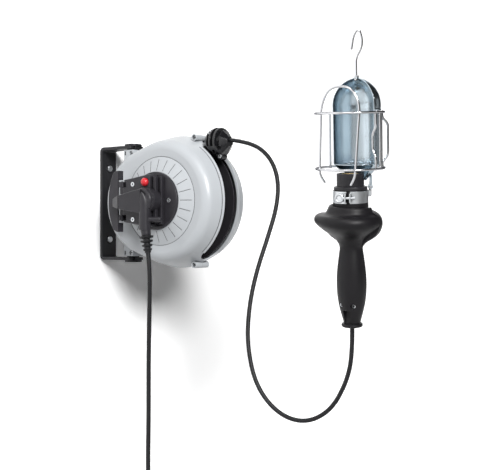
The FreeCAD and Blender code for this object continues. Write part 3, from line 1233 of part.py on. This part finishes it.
def make_band():
    """Clamp band with its two ears and screw on the left, and the guard's hinge on the right."""
    inner = NECK_R - BAND_THICK
    screw_r = NECK_R + 5
    band = tube(NECK_R, inner, Vector(0, 0, BAND_LOW), Vector(0, 0, BAND_HIGH - 0.1))
    band = band.cut(Part.makeBox(5, 20, 40, Vector(-2.5, -NECK_R - 6, -20)))
    for side in (-1, 1):
        x0, x1 = sorted((side * 2.5, side * 4.2))
        ear = Part.makeBox(x1 - x0, 9, BAND_HIGH - BAND_LOW - 4, Vector(x0, -NECK_R - 8.2, BAND_LOW + 2))
        band = fuse([band, ear])
    middle = (BAND_LOW + BAND_HIGH) / 2
    band = band.cut(rod(2.0 + RUN_FIT, Vector(-10, -screw_r, middle), Vector(10, -screw_r, middle)))
    band.rotate(Vector(0, 0, 0), Z_AXIS, CLAMP_TURN)
    lug = Part.makeBox(HINGE_R - NECK_R + 2, 8, 8, Vector(NECK_R - 1, -4, BAND_HIGH - 9))
    lug = lug.cut(rod(inner + 0.1, Vector(0, 0, -30), Vector(0, 0, 30)))
    pin_z = BAND_HIGH + 4.5
    post = Part.makeBox(3, 6, 12, Vector(HINGE_R - 1.5, -3, BAND_HIGH - 7.5))
    eye = rod(3, Vector(HINGE_R, -3, pin_z), Vector(HINGE_R, 3, pin_z))
    band = fuse([band, lug, post, eye])
    band = band.cut(rod(1.5, Vector(HINGE_R, -10, pin_z), Vector(HINGE_R, 10, pin_z)))
    export(lamp_place(band), "clamp_band")
    export(lamp_place(rod(1.5, Vector(HINGE_R, -8, pin_z), Vector(HINGE_R, 8, pin_z))), "guard_hinge_pin")
    ring = Part.makeTorus(5.0, 1.6, Vector(-11.4, -screw_r, middle), Y_AXIS)
    shank = rod(2.0, Vector(-7.4, -screw_r, middle), Vector(9.5, -screw_r, middle))
    screw = fuse([ring, shank])
    screw.rotate(Vector(0, 0, 0), Z_AXIS, CLAMP_TURN)
    export(lamp_place(screw), "clamp_screw")


def make_reflector():
    """Bent sheet: cylinder, dome and funnel over part of a turn, with a holed floor."""
    centre = Vector(REFLECTOR_X, REFLECTOR_Y, 0)
    sheet = REFLECTOR_SHEET
    r = REFLECTOR_R
    outer = [Vector(r, 0, REFLECTOR_LOW), Vector(r, 0, REFLECTOR_SHOULDER)]
    bead = Vector(r + 0.8, 0, REFLECTOR_SHOULDER + 1.5)
    top = Vector(3, 0, REFLECTOR_TOP)
    mid = Vector(r * 0.74, 0, REFLECTOR_SHOULDER + (REFLECTOR_TOP - REFLECTOR_SHOULDER) * 0.72)
    inner_top = Vector(3, 0, REFLECTOR_TOP - sheet)
    inner_mid = mid - Vector(sheet * 0.7, 0, sheet * 0.7)
    inner_start = Vector(r - sheet, 0, REFLECTOR_SHOULDER + 3)
    edges = [Part.LineSegment(outer[0], outer[1]).toShape(), Part.LineSegment(outer[1], bead).toShape(),
             Part.LineSegment(bead, Vector(r, 0, REFLECTOR_SHOULDER + 3)).toShape(),
             Part.Arc(Vector(r, 0, REFLECTOR_SHOULDER + 3), mid, top).toShape(),
             Part.LineSegment(top, inner_top).toShape(), Part.Arc(inner_top, inner_mid, inner_start).toShape(),
             Part.LineSegment(inner_start, Vector(r - sheet, 0, REFLECTOR_LOW)).toShape(),
             Part.LineSegment(Vector(r - sheet, 0, REFLECTOR_LOW), outer[0]).toShape()]
    section = Part.Face(Part.Wire(edges))
    section.rotate(Vector(0, 0, 0), Z_AXIS, -52)
    skin = section.revolve(Vector(0, 0, 0), Z_AXIS, 222)
    slant = Part.Face(Part.makePolygon([
        Vector(12, 0, FUNNEL_LOW), Vector(r, 0, REFLECTOR_LOW + 0.5), Vector(r - 1.3, 0, REFLECTOR_LOW + 0.5),
        Vector(10.8, 0, FUNNEL_LOW + 0.2), Vector(12, 0, FUNNEL_LOW)]))
    slant.rotate(Vector(0, 0, 0), Z_AXIS, -52)
    funnel = slant.revolve(Vector(0, 0, 0), Z_AXIS, 222)
    crown = rod(3.2, Vector(0, 0, REFLECTOR_TOP - sheet), Vector(0, 0, REFLECTOR_TOP))
    floor = rod(r - 0.4, Vector(0, 0, REFLECTOR_LOW), Vector(0, 0, REFLECTOR_LOW + sheet))
    reflector = fuse([skin, crown, floor, funnel])
    reflector.translate(centre)
    reflector = reflector.cut(rod(SLEEVE_R + 2.3, Vector(0, 0, FUNNEL_LOW - 5), Vector(0, 0, REFLECTOR_LOW - 1)))
    reflector = reflector.cut(rod(17.5, Vector(2, 1, REFLECTOR_LOW - 1), Vector(2, 1, REFLECTOR_LOW + 2)))
    reflector = reflector.cut(rod(HOOK_WIRE_R + RUN_FIT, centre + Vector(0, 0, REFLECTOR_TOP - 5), centre + Vector(0, 0, REFLECTOR_TOP + 5)))
    return reflector, centre


def make_guard():
    reflector, centre = make_reflector()
    pin_z = BAND_HIGH + 4.5
    parts = [reflector]
    for side in (-1, 1):
        y0, y1 = sorted((side * 3.6, side * 7.0))
        parts.append(rod(3, Vector(HINGE_R, y0, pin_z), Vector(HINGE_R, y1, pin_z)))
        parts.append(Part.makeBox(2.4, y1 - y0, 16, Vector(HINGE_R - 0.4, y0, pin_z)))
    parts.append(Part.makeBox(2.4, 14, 9, Vector(HINGE_R - 0.4, -7, pin_z + 7)))
    body = fuse(parts)
    body = body.cut(rod(1.5 + RUN_FIT, Vector(HINGE_R, -9, pin_z), Vector(HINGE_R, 9, pin_z)))
    export(lamp_place(body), "reflector")
    make_cage()
    make_hook(centre)


def on_ring(angle, radius, z):
    """A point round the lamp axis; 0 degrees faces the viewer, positive to the right."""
    a = math.radians(angle)
    return Vector(radius * math.sin(a), -radius * math.cos(a), z)


def make_cage():
    """Two rings, an arch over the front with free ends below, straight bars and two bent bars."""
    inner = CAGE_R - 2.4
    parts = [Part.makeTorus(CAGE_R, CAGE_WIRE_R, Vector(0, 0, CAGE_LOW), Z_AXIS),
             Part.makeTorus(CAGE_R, CAGE_WIRE_R, Vector(0, 0, CAGE_HIGH), Z_AXIS)]
    left = on_ring(-64.0, inner, 0)
    front = on_ring(11.5, inner, 0)
    apex = (left + front) * 0.5
    arch = [on_ring(-74.0, inner - 7, 19.5), on_ring(-76.0, inner, 31), left + Vector(0, 0, 126),
            apex + (left - apex) * 0.55 + Vector(0, 0, 149), apex + (front - apex) * 0.55 + Vector(0, 0, 149),
            front + Vector(0, 0, 126), on_ring(1.7, inner, 29), on_ring(-5.5, inner - 7, 17.5)]
    parts.append(wire_tube(arch, CAGE_WIRE_R))
    for angle in (-147.5, 59.7, 66.3):
        parts.append(rod(CAGE_WIRE_R, on_ring(angle, inner, CAGE_LOW - 2), on_ring(angle, inner, CAGE_HIGH + 2)))
    for angle, bulge, low, high in ((44.7, -5.3, 16, 20), (90.0, 8.0, 7, 8)):
        bar = [on_ring(angle, inner, CAGE_LOW - 2), on_ring(angle, inner, CAGE_LOW + low),
               on_ring(angle, inner + bulge, CAGE_LOW + low + 9), on_ring(angle, inner + bulge, CAGE_HIGH - high - 8),
               on_ring(angle, inner, CAGE_HIGH - high), on_ring(angle, inner, CAGE_HIGH + 2)]
        parts.append(wire_tube(bar, CAGE_WIRE_R))
    cage = fuse(parts)
    print("cage solids", len(cage.Solids))
    export(lamp_place(cage), "wire_guard")


def make_hook(centre):
    top = REFLECTOR_TOP
    points = [Vector(0, 0, top - 3), Vector(0, 0, top + 27), Vector(7.2, 0, top + 38.5), Vector(8.8, 0, top + 52),
              Vector(4.2, 0, top + 67), Vector(-3.2, 0, top + 57), Vector(-6.4, 0, top + 38)]
    hook = wire_tube([p + centre for p in points], HOOK_WIRE_R)
    nub = rod(3.2, centre + Vector(0, 0, top - 3.2), centre + Vector(0, 0, top - 1.2))
    export(lamp_place(fuse([hook, nub])), "lamp_hook")
    nut = tube(3.6, HOOK_WIRE_R + RUN_FIT, centre + Vector(0, 0, top), centre + Vector(0, 0, top + 3.2))
    export(lamp_place(nut), "hook_nut")


def main():
    make_bracket()
    make_wall_bolts()
    make_pivot("upper_pivot_cap", 1)
    make_pivot("lower_pivot_cap", -1)
    make_pivot_washers()
    make_shells()
    make_shell_screws()
    make_shaft()
    drum_half("drum_near_half", -1)
    drum_half("drum_far_half", 1)
    make_drum_fittings()
    make_wound_cord()
    make_power_spring()
    make_spring_side()
    make_slip_rings()
    make_ratchet()
    make_outlet()
    make_ball()
    make_hub_cover()
    make_hub_screws()
    make_button()
    make_inlet()
    make_lid()
    make_connector()
    start = make_boot()
    make_supply(start)
    make_handle()
    make_lampholder()
    make_band()
    make_guard()
    start_f = BALL_FORWARD + 22.5
    route = [at(0, start_f, cord_line(start_f))]
    route += [Vector(*p) for p in WORK_CORD]
    route += [lamp_point(0, 0, LAMP_BOTTOM - 38), lamp_point(0, 0, LAMP_BOTTOM)]
    export(route_tube(route, CORD_R, "work cord"), "work_cord")


main()
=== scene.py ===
# Wall-mounted spring cable reel with a hand lamp. Everything is in metres.
import json
import math

import bpy
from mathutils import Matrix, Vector


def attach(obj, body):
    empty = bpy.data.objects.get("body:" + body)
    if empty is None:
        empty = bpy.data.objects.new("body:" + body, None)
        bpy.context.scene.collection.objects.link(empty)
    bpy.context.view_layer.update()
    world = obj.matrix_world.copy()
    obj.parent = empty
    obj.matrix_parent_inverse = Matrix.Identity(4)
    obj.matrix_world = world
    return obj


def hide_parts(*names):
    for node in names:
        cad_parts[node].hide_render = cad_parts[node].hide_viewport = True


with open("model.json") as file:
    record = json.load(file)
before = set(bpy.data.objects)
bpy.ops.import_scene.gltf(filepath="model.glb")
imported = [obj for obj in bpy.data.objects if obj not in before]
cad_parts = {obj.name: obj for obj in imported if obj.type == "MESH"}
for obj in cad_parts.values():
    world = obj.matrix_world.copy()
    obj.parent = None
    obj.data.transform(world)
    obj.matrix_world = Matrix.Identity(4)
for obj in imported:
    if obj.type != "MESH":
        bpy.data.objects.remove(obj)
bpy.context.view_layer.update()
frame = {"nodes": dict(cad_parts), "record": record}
print("frame loaded,", len(frame["nodes"]), "nodes")


# Shader maths

mixFactor, mixA, mixB = 0, 2, 3             # sockets of a Mix node, for numbers
mixColourA, mixColourB, mixColourOut = 6, 7, 2      # and for colours


class Sock:
    def __init__(self, look, out):
        self.look = look
        self.out = out

    def join(self, operation, first, second):
        return self.look.add("Math", {"operation": operation}, {0: first, 1: second})

    def __add__(self, other):
        return self.join("ADD", self, other)

    def __rsub__(self, other):
        return self.join("SUBTRACT", other, self)

    def __mul__(self, other):
        return self.join("MULTIPLY", self, other)


class Look:
    def __init__(self, name, colour, **values):
        self.mat = bpy.data.materials.new(name)
        self.mat.use_nodes = True
        self.mat.diffuse_color = (*colour, 1)
        self.tree = self.mat.node_tree
        self.shader = self.tree.nodes["Principled BSDF"]
        self.place = self.add("TexCoord", take="Object")
        self.feed({"Base Color": colour})
        for key, value in values.items():
            socket = key.replace("_", " ").title().replace("Ior", "IOR")
            self.feed({socket: value})

    def add(self, kind, settings={}, sockets={}, take=0):
        node = self.tree.nodes.new("ShaderNode" + kind)
        for key, value in settings.items():
            setattr(node, key, value)
        for key, value in sockets.items():
            self.plug(node.inputs[key], value)
        return Sock(self, node.outputs[take])

    def plug(self, socket, value):
        if isinstance(value, Sock):
            self.tree.links.new(value.out, socket)
        elif socket.type == "RGBA":
            socket.default_value = (*value, 1)
        else:
            socket.default_value = value

    def feed(self, values):
        for key, value in values.items():
            self.plug(self.shader.inputs[key], value)

    def noise(self, scale, detail, rough=0.5, place=None):
        sockets = {"Vector": place or self.place, "Scale": scale,
                   "Detail": detail, "Roughness": rough}
        return self.add("TexNoise", {}, sockets)

    def level(self, value, low, high, bottom, top):
        sockets = {"Value": value, "From Min": low, "From Max": high,
                   "To Min": bottom, "To Max": top}
        return self.add("MapRange", {"clamp": True}, sockets)

    def blend(self, factor, first, second):
        sockets = {mixFactor: factor, mixColourA: first, mixColourB: second}
        return self.add("Mix", {"data_type": "RGBA"}, sockets, take=mixColourOut)

    def surface(self, shader):
        self.plug(self.tree.nodes["Material Output"].inputs["Surface"], shader)

    def own(self):
        return Sock(self, self.shader.outputs["BSDF"])

    def mixShader(self, factor, first, second):
        return self.add("MixShader", {}, {0: factor, 1: first, 2: second})

    def stretch(self, x, y, z):
        return self.add("VectorMath", {"operation": "MULTIPLY"}, {0: self.place, 1: (x, y, z)})

    def rounded(self, radius):
        return self.add("Bevel", {"samples": 6}, {"Radius": radius})

    # the edge mask below lightens colour on sharp edges as a painted highlight
    def edges(self, radius=0.0009):         # 1 along sharp edges
        flat = self.add("NewGeometry", take="Normal")
        sockets = {0: self.rounded(radius), 1: flat}
        across = self.add("VectorMath", {"operation": "DOT_PRODUCT"}, sockets, take="Value")
        return self.level(1 - across, 0.01, 0.2, 0.0, 1.0)

    def nooks(self, reach=0.006):           # 1 deep in corners and gaps: the mask for painted shade
        light = self.add("AmbientOcclusion", {"samples": 6}, {"Distance": reach}, take="AO")
        return self.level(light, 0.25, 0.75, 1.0, 0.0)

    def bump(self, height, strength, depth=0.0002, radius=0.0007):
        sockets = {"Height": height, "Strength": strength, "Distance": depth,
                   "Normal": self.rounded(radius)}
        self.feed({"Normal": self.add("Bump", {}, sockets)})

    def shade(self, dark, amount=0.8):      # painted shade: a dark diffuse mixed in deep in corners and gaps, where light hardly reaches
        paintedShade = self.add("BsdfDiffuse", {}, {"Color": dark})
        self.surface(self.mixShader(self.nooks() * amount, self.own(), paintedShade))


# Finishes

edgeWearAndHighlight = 0.5      # how far sharp edges go to the lighter colour: partly wear, partly a painted highlight


def makePaint():
    look = Look("bracketPaint", (0.022, 0.022, 0.025), roughness=0.4, specular_ior_level=0.3)
    peel = look.noise(scale=420, detail=3)
    cloud = look.noise(scale=22, detail=4)
    base = look.blend(cloud, (0.014, 0.014, 0.016), (0.026, 0.026, 0.029))
    # sharp edges lighter: partly worn paint, partly a painted highlight
    look.feed({"Base Color": look.blend(look.edges() * edgeWearAndHighlight, base, (0.14, 0.14, 0.15)),
               "Roughness": cloud * 0.16 + 0.3})
    look.bump(peel, strength=0.25)
    # painted shade: near-black mixed into corners and gaps
    look.shade((0.004, 0.004, 0.004))
    return look.mat


def makeZinc():
    look = Look("zincPlate", (0.72, 0.74, 0.77), metallic=1.0, roughness=0.3)
    spangle = look.noise(scale=160, detail=4)
    cloud = look.noise(scale=60, detail=2)
    look.feed({"Base Color": look.blend(cloud, (0.5, 0.52, 0.54), (0.72, 0.74, 0.76)),
               "Roughness": spangle * 0.25 + 0.2})
    look.bump(look.noise(scale=900, detail=2), strength=0.12, depth=0.0001)
    # painted shade: near-black mixed fully into recesses such as screw sockets
    look.shade((0.01, 0.01, 0.01), amount=1.0)
    return look.mat


def makeShell():
    look = Look("shellPlastic", (0.6, 0.625, 0.65), roughness=0.38)
    cloud = look.noise(scale=9, detail=3)
    grain = look.noise(scale=1500, detail=2)
    base = look.blend(cloud, (0.54, 0.565, 0.59), (0.58, 0.605, 0.63))
    look.feed({"Base Color": base, "Roughness": grain * 0.12 + 0.24})
    look.bump(grain, strength=0.18, depth=0.00012)
    # painted shade: dark grey mixed into gaps and corners between parts
    look.shade((0.03, 0.032, 0.034), amount=0.9)
    return look.mat


def makeHub():
    look = Look("hubPlastic", (0.04, 0.04, 0.044), roughness=0.42, specular_ior_level=0.3)
    grain = look.noise(scale=1300, detail=3)
    cloud = look.noise(scale=30, detail=3)
    base = look.blend(cloud, (0.022, 0.021, 0.025), (0.034, 0.032, 0.038))
    # sharp edges lighter: a painted highlight along the edges
    look.feed({"Base Color": look.blend(look.edges() * edgeWearAndHighlight, base, (0.16, 0.155, 0.17)),
               "Roughness": grain * 0.2 + 0.26})
    look.bump(grain, strength=0.3, depth=0.00015)
    # painted shade: near-black mixed into corners, gaps and recesses
    look.shade((0.003, 0.003, 0.003), amount=0.95)
    return look.mat


def makeBlackPlastic():
    look = Look("blackPlastic", (0.03, 0.03, 0.033), roughness=0.4, specular_ior_level=0.3)
    grain = look.noise(scale=1200, detail=3)
    base = look.blend(look.noise(scale=25, detail=3), (0.018, 0.017, 0.02), (0.028, 0.027, 0.031))
    # sharp edges lighter: a painted highlight along the edges
    look.feed({"Base Color": look.blend(look.edges() * edgeWearAndHighlight, base, (0.15, 0.145, 0.16)),
               "Roughness": grain * 0.2 + 0.24})
    look.bump(grain, strength=0.25, depth=0.00015)
    # painted shade: near-black mixed into corners and gaps
    look.shade((0.003, 0.003, 0.003), amount=0.95)
    return look.mat


def makeBall():
    look = Look("glossBlack", (0.02, 0.02, 0.022), roughness=0.2)
    smear = look.noise(scale=45, detail=4)
    look.feed({"Base Color": look.blend(smear, (0.007, 0.007, 0.008), (0.014, 0.014, 0.016)),
               "Roughness": smear * 0.16 + 0.12})
    look.bump(look.noise(scale=700, detail=2), strength=0.08, depth=0.0001)
    return look.mat


def makeRed():
    look = Look("redButton", (0.7, 0.02, 0.03), roughness=0.25)
    smear = look.noise(scale=120, detail=3)
    look.feed({"Base Color": look.blend(smear, (0.64, 0.016, 0.028), (0.76, 0.03, 0.04)),
               "Roughness": smear * 0.15 + 0.18})
    look.bump(look.noise(scale=900, detail=2), strength=0.06, depth=0.0001)
    return look.mat


def makeSheath():
    look = Look("cableSheath", (0.022, 0.022, 0.024), roughness=0.4, specular_ior_level=0.25)
    grain = look.noise(scale=700, detail=3)
    cloud = look.noise(scale=40, detail=3)
    look.feed({"Base Color": look.blend(cloud, (0.008, 0.008, 0.009), (0.016, 0.016, 0.018)),
               "Roughness": grain * 0.2 + 0.3})
    look.bump(grain, strength=0.3, depth=0.00015)
    return look.mat


def makeHandle():
    look = Look("handleRubber", (0.02, 0.019, 0.022), roughness=0.4, specular_ior_level=0.22)
    grain = look.noise(scale=1100, detail=4, rough=0.6)
    cloud = look.noise(scale=28, detail=4)
    look.feed({"Base Color": look.blend(cloud, (0.006, 0.0055, 0.0065), (0.013, 0.012, 0.014)),
               "Roughness": cloud * 0.12 + 0.3 + grain * 0.1})
    look.bump(grain, strength=0.4, depth=0.0002)
    return look.mat


def makeReflector():
    look = Look("reflectorSheet", (0.5, 0.56, 0.6), metallic=1.0, roughness=0.28,
                specular_tint=(0.5, 0.52, 0.55))
    rolled = look.noise(scale=9, detail=3, rough=0.5, place=look.stretch(40, 40, 0.6))
    cloud = look.noise(scale=25, detail=3)
    look.feed({"Base Color": look.blend(cloud, (0.52, 0.6, 0.65), (0.62, 0.7, 0.75)),
               "Roughness": rolled * 0.06 + cloud * 0.05 + 0.16})
    look.bump(rolled, strength=0.05, depth=0.0001)
    return look.mat


def makeChrome():
    look = Look("brightWire", (0.78, 0.79, 0.8), metallic=1.0, roughness=0.16,
                specular_tint=(0.2, 0.2, 0.22))
    cloud = look.noise(scale=90, detail=4)
    look.feed({"Base Color": look.blend(cloud, (0.5, 0.5, 0.52), (0.68, 0.69, 0.7)),
               "Roughness": cloud * 0.14 + 0.08})
    look.bump(look.noise(scale=500, detail=2), strength=0.05, depth=0.0001)
    return look.mat


def makeMetal(name, dark, light, rough):
    look = Look(name, light, metallic=1.0, roughness=rough)
    cloud = look.noise(scale=80, detail=4)
    look.feed({"Base Color": look.blend(cloud, dark, light),
               "Roughness": cloud * 0.2 + (rough - 0.1)})
    look.bump(look.noise(scale=600, detail=3), strength=0.12, depth=0.0001)
    return look.mat


def makeInsulator():
    look = Look("insulator", (0.2, 0.1, 0.06), roughness=0.5)
    cloud = look.noise(scale=60, detail=4)
    look.feed({"Base Color": look.blend(cloud, (0.15, 0.075, 0.045), (0.26, 0.14, 0.08)),
               "Roughness": cloud * 0.2 + 0.4})
    look.bump(look.noise(scale=900, detail=3), strength=0.2, depth=0.00015)
    return look.mat


looks = {
    "bracket_paint": makePaint(), "zinc": makeZinc(), "shell": makeShell(), "hub": makeHub(),
    "black_plastic": makeBlackPlastic(), "drum_plastic": makeBlackPlastic(), "ball": makeBall(),
    "button": makeRed(), "cord": makeSheath(), "handle": makeHandle(), "reflector": makeReflector(),
    "chrome": makeChrome(), "insulator": makeInsulator(),
    "steel": makeMetal("turnedSteel", (0.45, 0.45, 0.47), (0.62, 0.62, 0.64), 0.32),
    "brass": makeMetal("brassPart", (0.62, 0.46, 0.2), (0.82, 0.64, 0.32), 0.28),
    "bronze": makeMetal("bronzeBush", (0.42, 0.28, 0.14), (0.6, 0.42, 0.22), 0.45),
    "carbon": makeMetal("carbonBrush", (0.03, 0.03, 0.03), (0.08, 0.08, 0.08), 0.5),
}
for part in frame["record"]["subparts"]:
    node = frame["nodes"][part["node"]]
    node.data.materials.clear()
    node.data.materials.append(looks[part["material_slot"]])
print("finishes on every node")


# Cords

def cordCurve(name, points, radius):
    curve = bpy.data.curves.new(name, "CURVE")
    curve.dimensions = "3D"
    curve.bevel_depth = radius
    curve.bevel_resolution = 5
    curve.resolution_u = 10
    curve.use_fill_caps = True
    spline = curve.splines.new("NURBS")
    spline.points.add(len(points) - 1)
    for slot, point in zip(spline.points, points):
        slot.co = (*point, 1)
    spline.order_u = 3
    spline.use_endpoint_u = True
    piece = bpy.data.objects.new(name, curve)
    bpy.context.scene.collection.objects.link(piece)
    return piece


workCordSet = {
    "diameter": 0.0065,
    "length": 0.70,
    "points": [
        (0, -0.2706, 0.0972), (0.001, -0.308, 0.0915), (-0.001, -0.344, 0.071),
        (0.001, -0.362, 0.036), (-0.006, -0.365, -0.009), (-0.023, -0.358, -0.060),
        (-0.042, -0.350, -0.112), (-0.057, -0.347, -0.165), (-0.067, -0.351, -0.220),
        (-0.070, -0.369, -0.278), (-0.060, -0.401, -0.317), (-0.044, -0.438, -0.329),
        (-0.029, -0.473, -0.309), (-0.024, -0.497, -0.263), (-0.0288, -0.5076, -0.2217),
        (-0.0337, -0.5098, -0.1841),
    ],
}


def makeWorkCord():
    s = workCordSet
    cord = cordCurve("workCord", s["points"], s["diameter"] / 2)
    cord.data.materials.append(looks["cord"])
    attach(cord, "reel")
    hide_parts("work_cord")


supplyCordSet = {
    "diameter": 0.0072,
    "length": 1.447,
    "points": [
        (-0.0930, -0.1784, -0.0831), (-0.0930, -0.1820, -0.1089), (-0.0924, -0.1812, -0.1589),
        (-0.0939, -0.1804, -0.2439), (-0.0929, -0.1796, -0.3389), (-0.0937, -0.1788, -0.4189),
        (-0.0918, -0.1788, -0.4788),
    ],
    "coilCentre": (-0.0915, -0.1388, -0.4860),
    "coilRadius": 0.0411,
    "coilTurns": 4,
    "coilPitch": 0.0081,
    "perTurn": 12,      # points in each turn
    "end": (-0.0577, -0.1788, -0.5310),
}


def makeSupplyCord():
    s = supplyCordSet
    points = list(s["points"])
    x, y, z = s["coilCentre"]
    steps = s["coilTurns"] * s["perTurn"]
    for step in range(steps + 1):
        turn = step / s["perTurn"]
        angle = -2 * math.pi * turn
        points.append((x + turn * s["coilPitch"], y - s["coilRadius"] * math.cos(angle),
                       z + s["coilRadius"] * math.sin(angle)))
    points.append(s["end"])
    cord = cordCurve("supplyCord", points, s["diameter"] / 2)
    cord.data.materials.append(looks["cord"])
    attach(cord, "supply")
    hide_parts("supply_lead", "supply_coil")


makeWorkCord()
makeSupplyCord()
print("cords laid")


# Wall, floor, lights and camera

stageSet = {
    "wallShade": 0.5,
    "floorShade": 0.35,
    "extraShade": 0.95,     # what the camera and mirrors see on top of both
    "rough": 0.9,
    "reach": 6,             # half the wall's and the floor's width
    "wallY": 0.0002,        # just behind the bracket
    "wallTop": 5,
    "floorZ": -0.9,
    "sun": {"from": (-0.7, -1.0, 0.55), "watts": 3.1, "softness": 20},
    "upperLeft": {"place": (-1.1, -0.9, 1.3), "aim": (0, -0.2, 0), "size": (0.7, 0.7), "watts": 8},
    "right": {"place": (1.7, -1.7, 0.1), "aim": (0, -0.3, 0), "size": (0.9, 1.3), "watts": 1.0},
    "worldStrength": 0.015,
    "worldGloss": (0.03, 1.1),      # what metal reflects, away from glossFrom and along it
    "glossFrom": (-0.95, 0.1, 0.3),
    "glossEdge": (0.68, 0.9),
}


def plane(name, corners, mat):
    mesh = bpy.data.meshes.new(name)
    mesh.from_pydata(corners, [], [(0, 1, 2, 3)])
    mesh.materials.append(mat)
    piece = bpy.data.objects.new(name, mesh)
    bpy.context.scene.collection.objects.link(piece)


def backdropLook(name, shade):
    look = Look(name, (shade,) * 3, roughness=stageSet["rough"])
    camera = look.add("LightPath", take="Is Camera Ray")
    glossy = look.add("LightPath", take="Is Glossy Ray")
    extra = look.add("BsdfDiffuse", {}, {"Color": (stageSet["extraShade"],) * 3})
    both = look.add("AddShader", {}, {0: look.own(), 1: extra})
    front = look.mixShader(camera.join("MAXIMUM", camera, glossy), look.own(), both)
    behind = look.add("NewGeometry", take="Backfacing") * camera
    look.surface(look.mixShader(behind, front, look.add("BsdfTransparent")))
    return look.mat


def softBox(name, s):
    lamp = bpy.data.lights.new(name, "AREA")
    lamp.energy = s["watts"]
    lamp.shape = "RECTANGLE"
    lamp.size, lamp.size_y = s["size"]
    place = Vector(s["place"])
    addLight(lamp, place, Vector(s["aim"]) - place)


def addLight(lamp, place, towards):
    piece = bpy.data.objects.new(lamp.name, lamp)
    piece.location = place
    piece.rotation_euler = towards.to_track_quat("-Z", "Y").to_euler()
    bpy.context.scene.collection.objects.link(piece)


def makeWorld():
    world = bpy.data.worlds.new("studio")
    world.use_nodes = True
    nodes = world.node_tree.nodes
    link = world.node_tree.links.new
    low, high = stageSet["worldGloss"]
    paths = nodes.new("ShaderNodeLightPath")
    place = nodes.new("ShaderNodeTexCoord")
    along = nodes.new("ShaderNodeVectorMath")
    along.operation = "DOT_PRODUCT"
    along.inputs[1].default_value = stageSet["glossFrom"]
    sky = nodes.new("ShaderNodeMapRange")
    start, end = stageSet["glossEdge"]
    span = {"From Min": start, "From Max": end, "To Min": low, "To Max": high}
    for key, value in span.items():
        sky.inputs[key].default_value = value
    pick = nodes.new("ShaderNodeMix")
    seen = nodes.new("ShaderNodeMix")
    pick.inputs[mixA].default_value = stageSet["worldStrength"]
    seen.inputs[mixB].default_value = 1
    link(place.outputs["Generated"], along.inputs[0])
    link(along.outputs["Value"], sky.inputs["Value"])
    link(paths.outputs["Is Glossy Ray"], pick.inputs[mixFactor])
    link(sky.outputs[0], pick.inputs[mixB])
    link(paths.outputs["Is Camera Ray"], seen.inputs[mixFactor])
    link(pick.outputs[0], seen.inputs[mixA])
    link(seen.outputs[0], nodes["Background"].inputs["Strength"])
    nodes["Background"].inputs["Color"].default_value = (1, 1, 1, 1)
    bpy.context.scene.world = world


def makeStage():
    s = stageSet
    far, y, z, top = s["reach"], s["wallY"], s["floorZ"], s["wallTop"]
    plane("wall", [(-far, y, z), (far, y, z), (far, y, top), (-far, y, top)],
          backdropLook("wallWhite", s["wallShade"]))
    plane("floor", [(-far, -far, z), (far, -far, z), (far, y, z), (-far, y, z)],
          backdropLook("floorPale", s["floorShade"]))
    sun = bpy.data.lights.new("sun", "SUN")
    sun.energy = s["sun"]["watts"]
    sun.angle = math.radians(s["sun"]["softness"])
    addLight(sun, Vector(s["sun"]["from"]), -Vector(s["sun"]["from"]))
    for name in ("upperLeft", "right"):
        softBox(name, s[name])
    makeWorld()


cameraSet = {"place": (-1.162, -1.123, -0.055), "turn": -55.0, "lens": 64.8, "sensor": 36}


def makeCamera():
    s = cameraSet
    camera = bpy.data.cameras.new("camera")
    camera.sensor_width = s["sensor"]
    camera.lens = s["lens"]
    piece = bpy.data.objects.new("camera", camera)
    piece.location = s["place"]
    piece.rotation_euler = (math.radians(90), 0, math.radians(s["turn"]))
    bpy.context.scene.collection.objects.link(piece)
    bpy.context.scene.camera = piece


makeStage()
makeCamera()
bpy.context.scene.view_settings.view_transform = "Standard"
print("stage and camera ready")
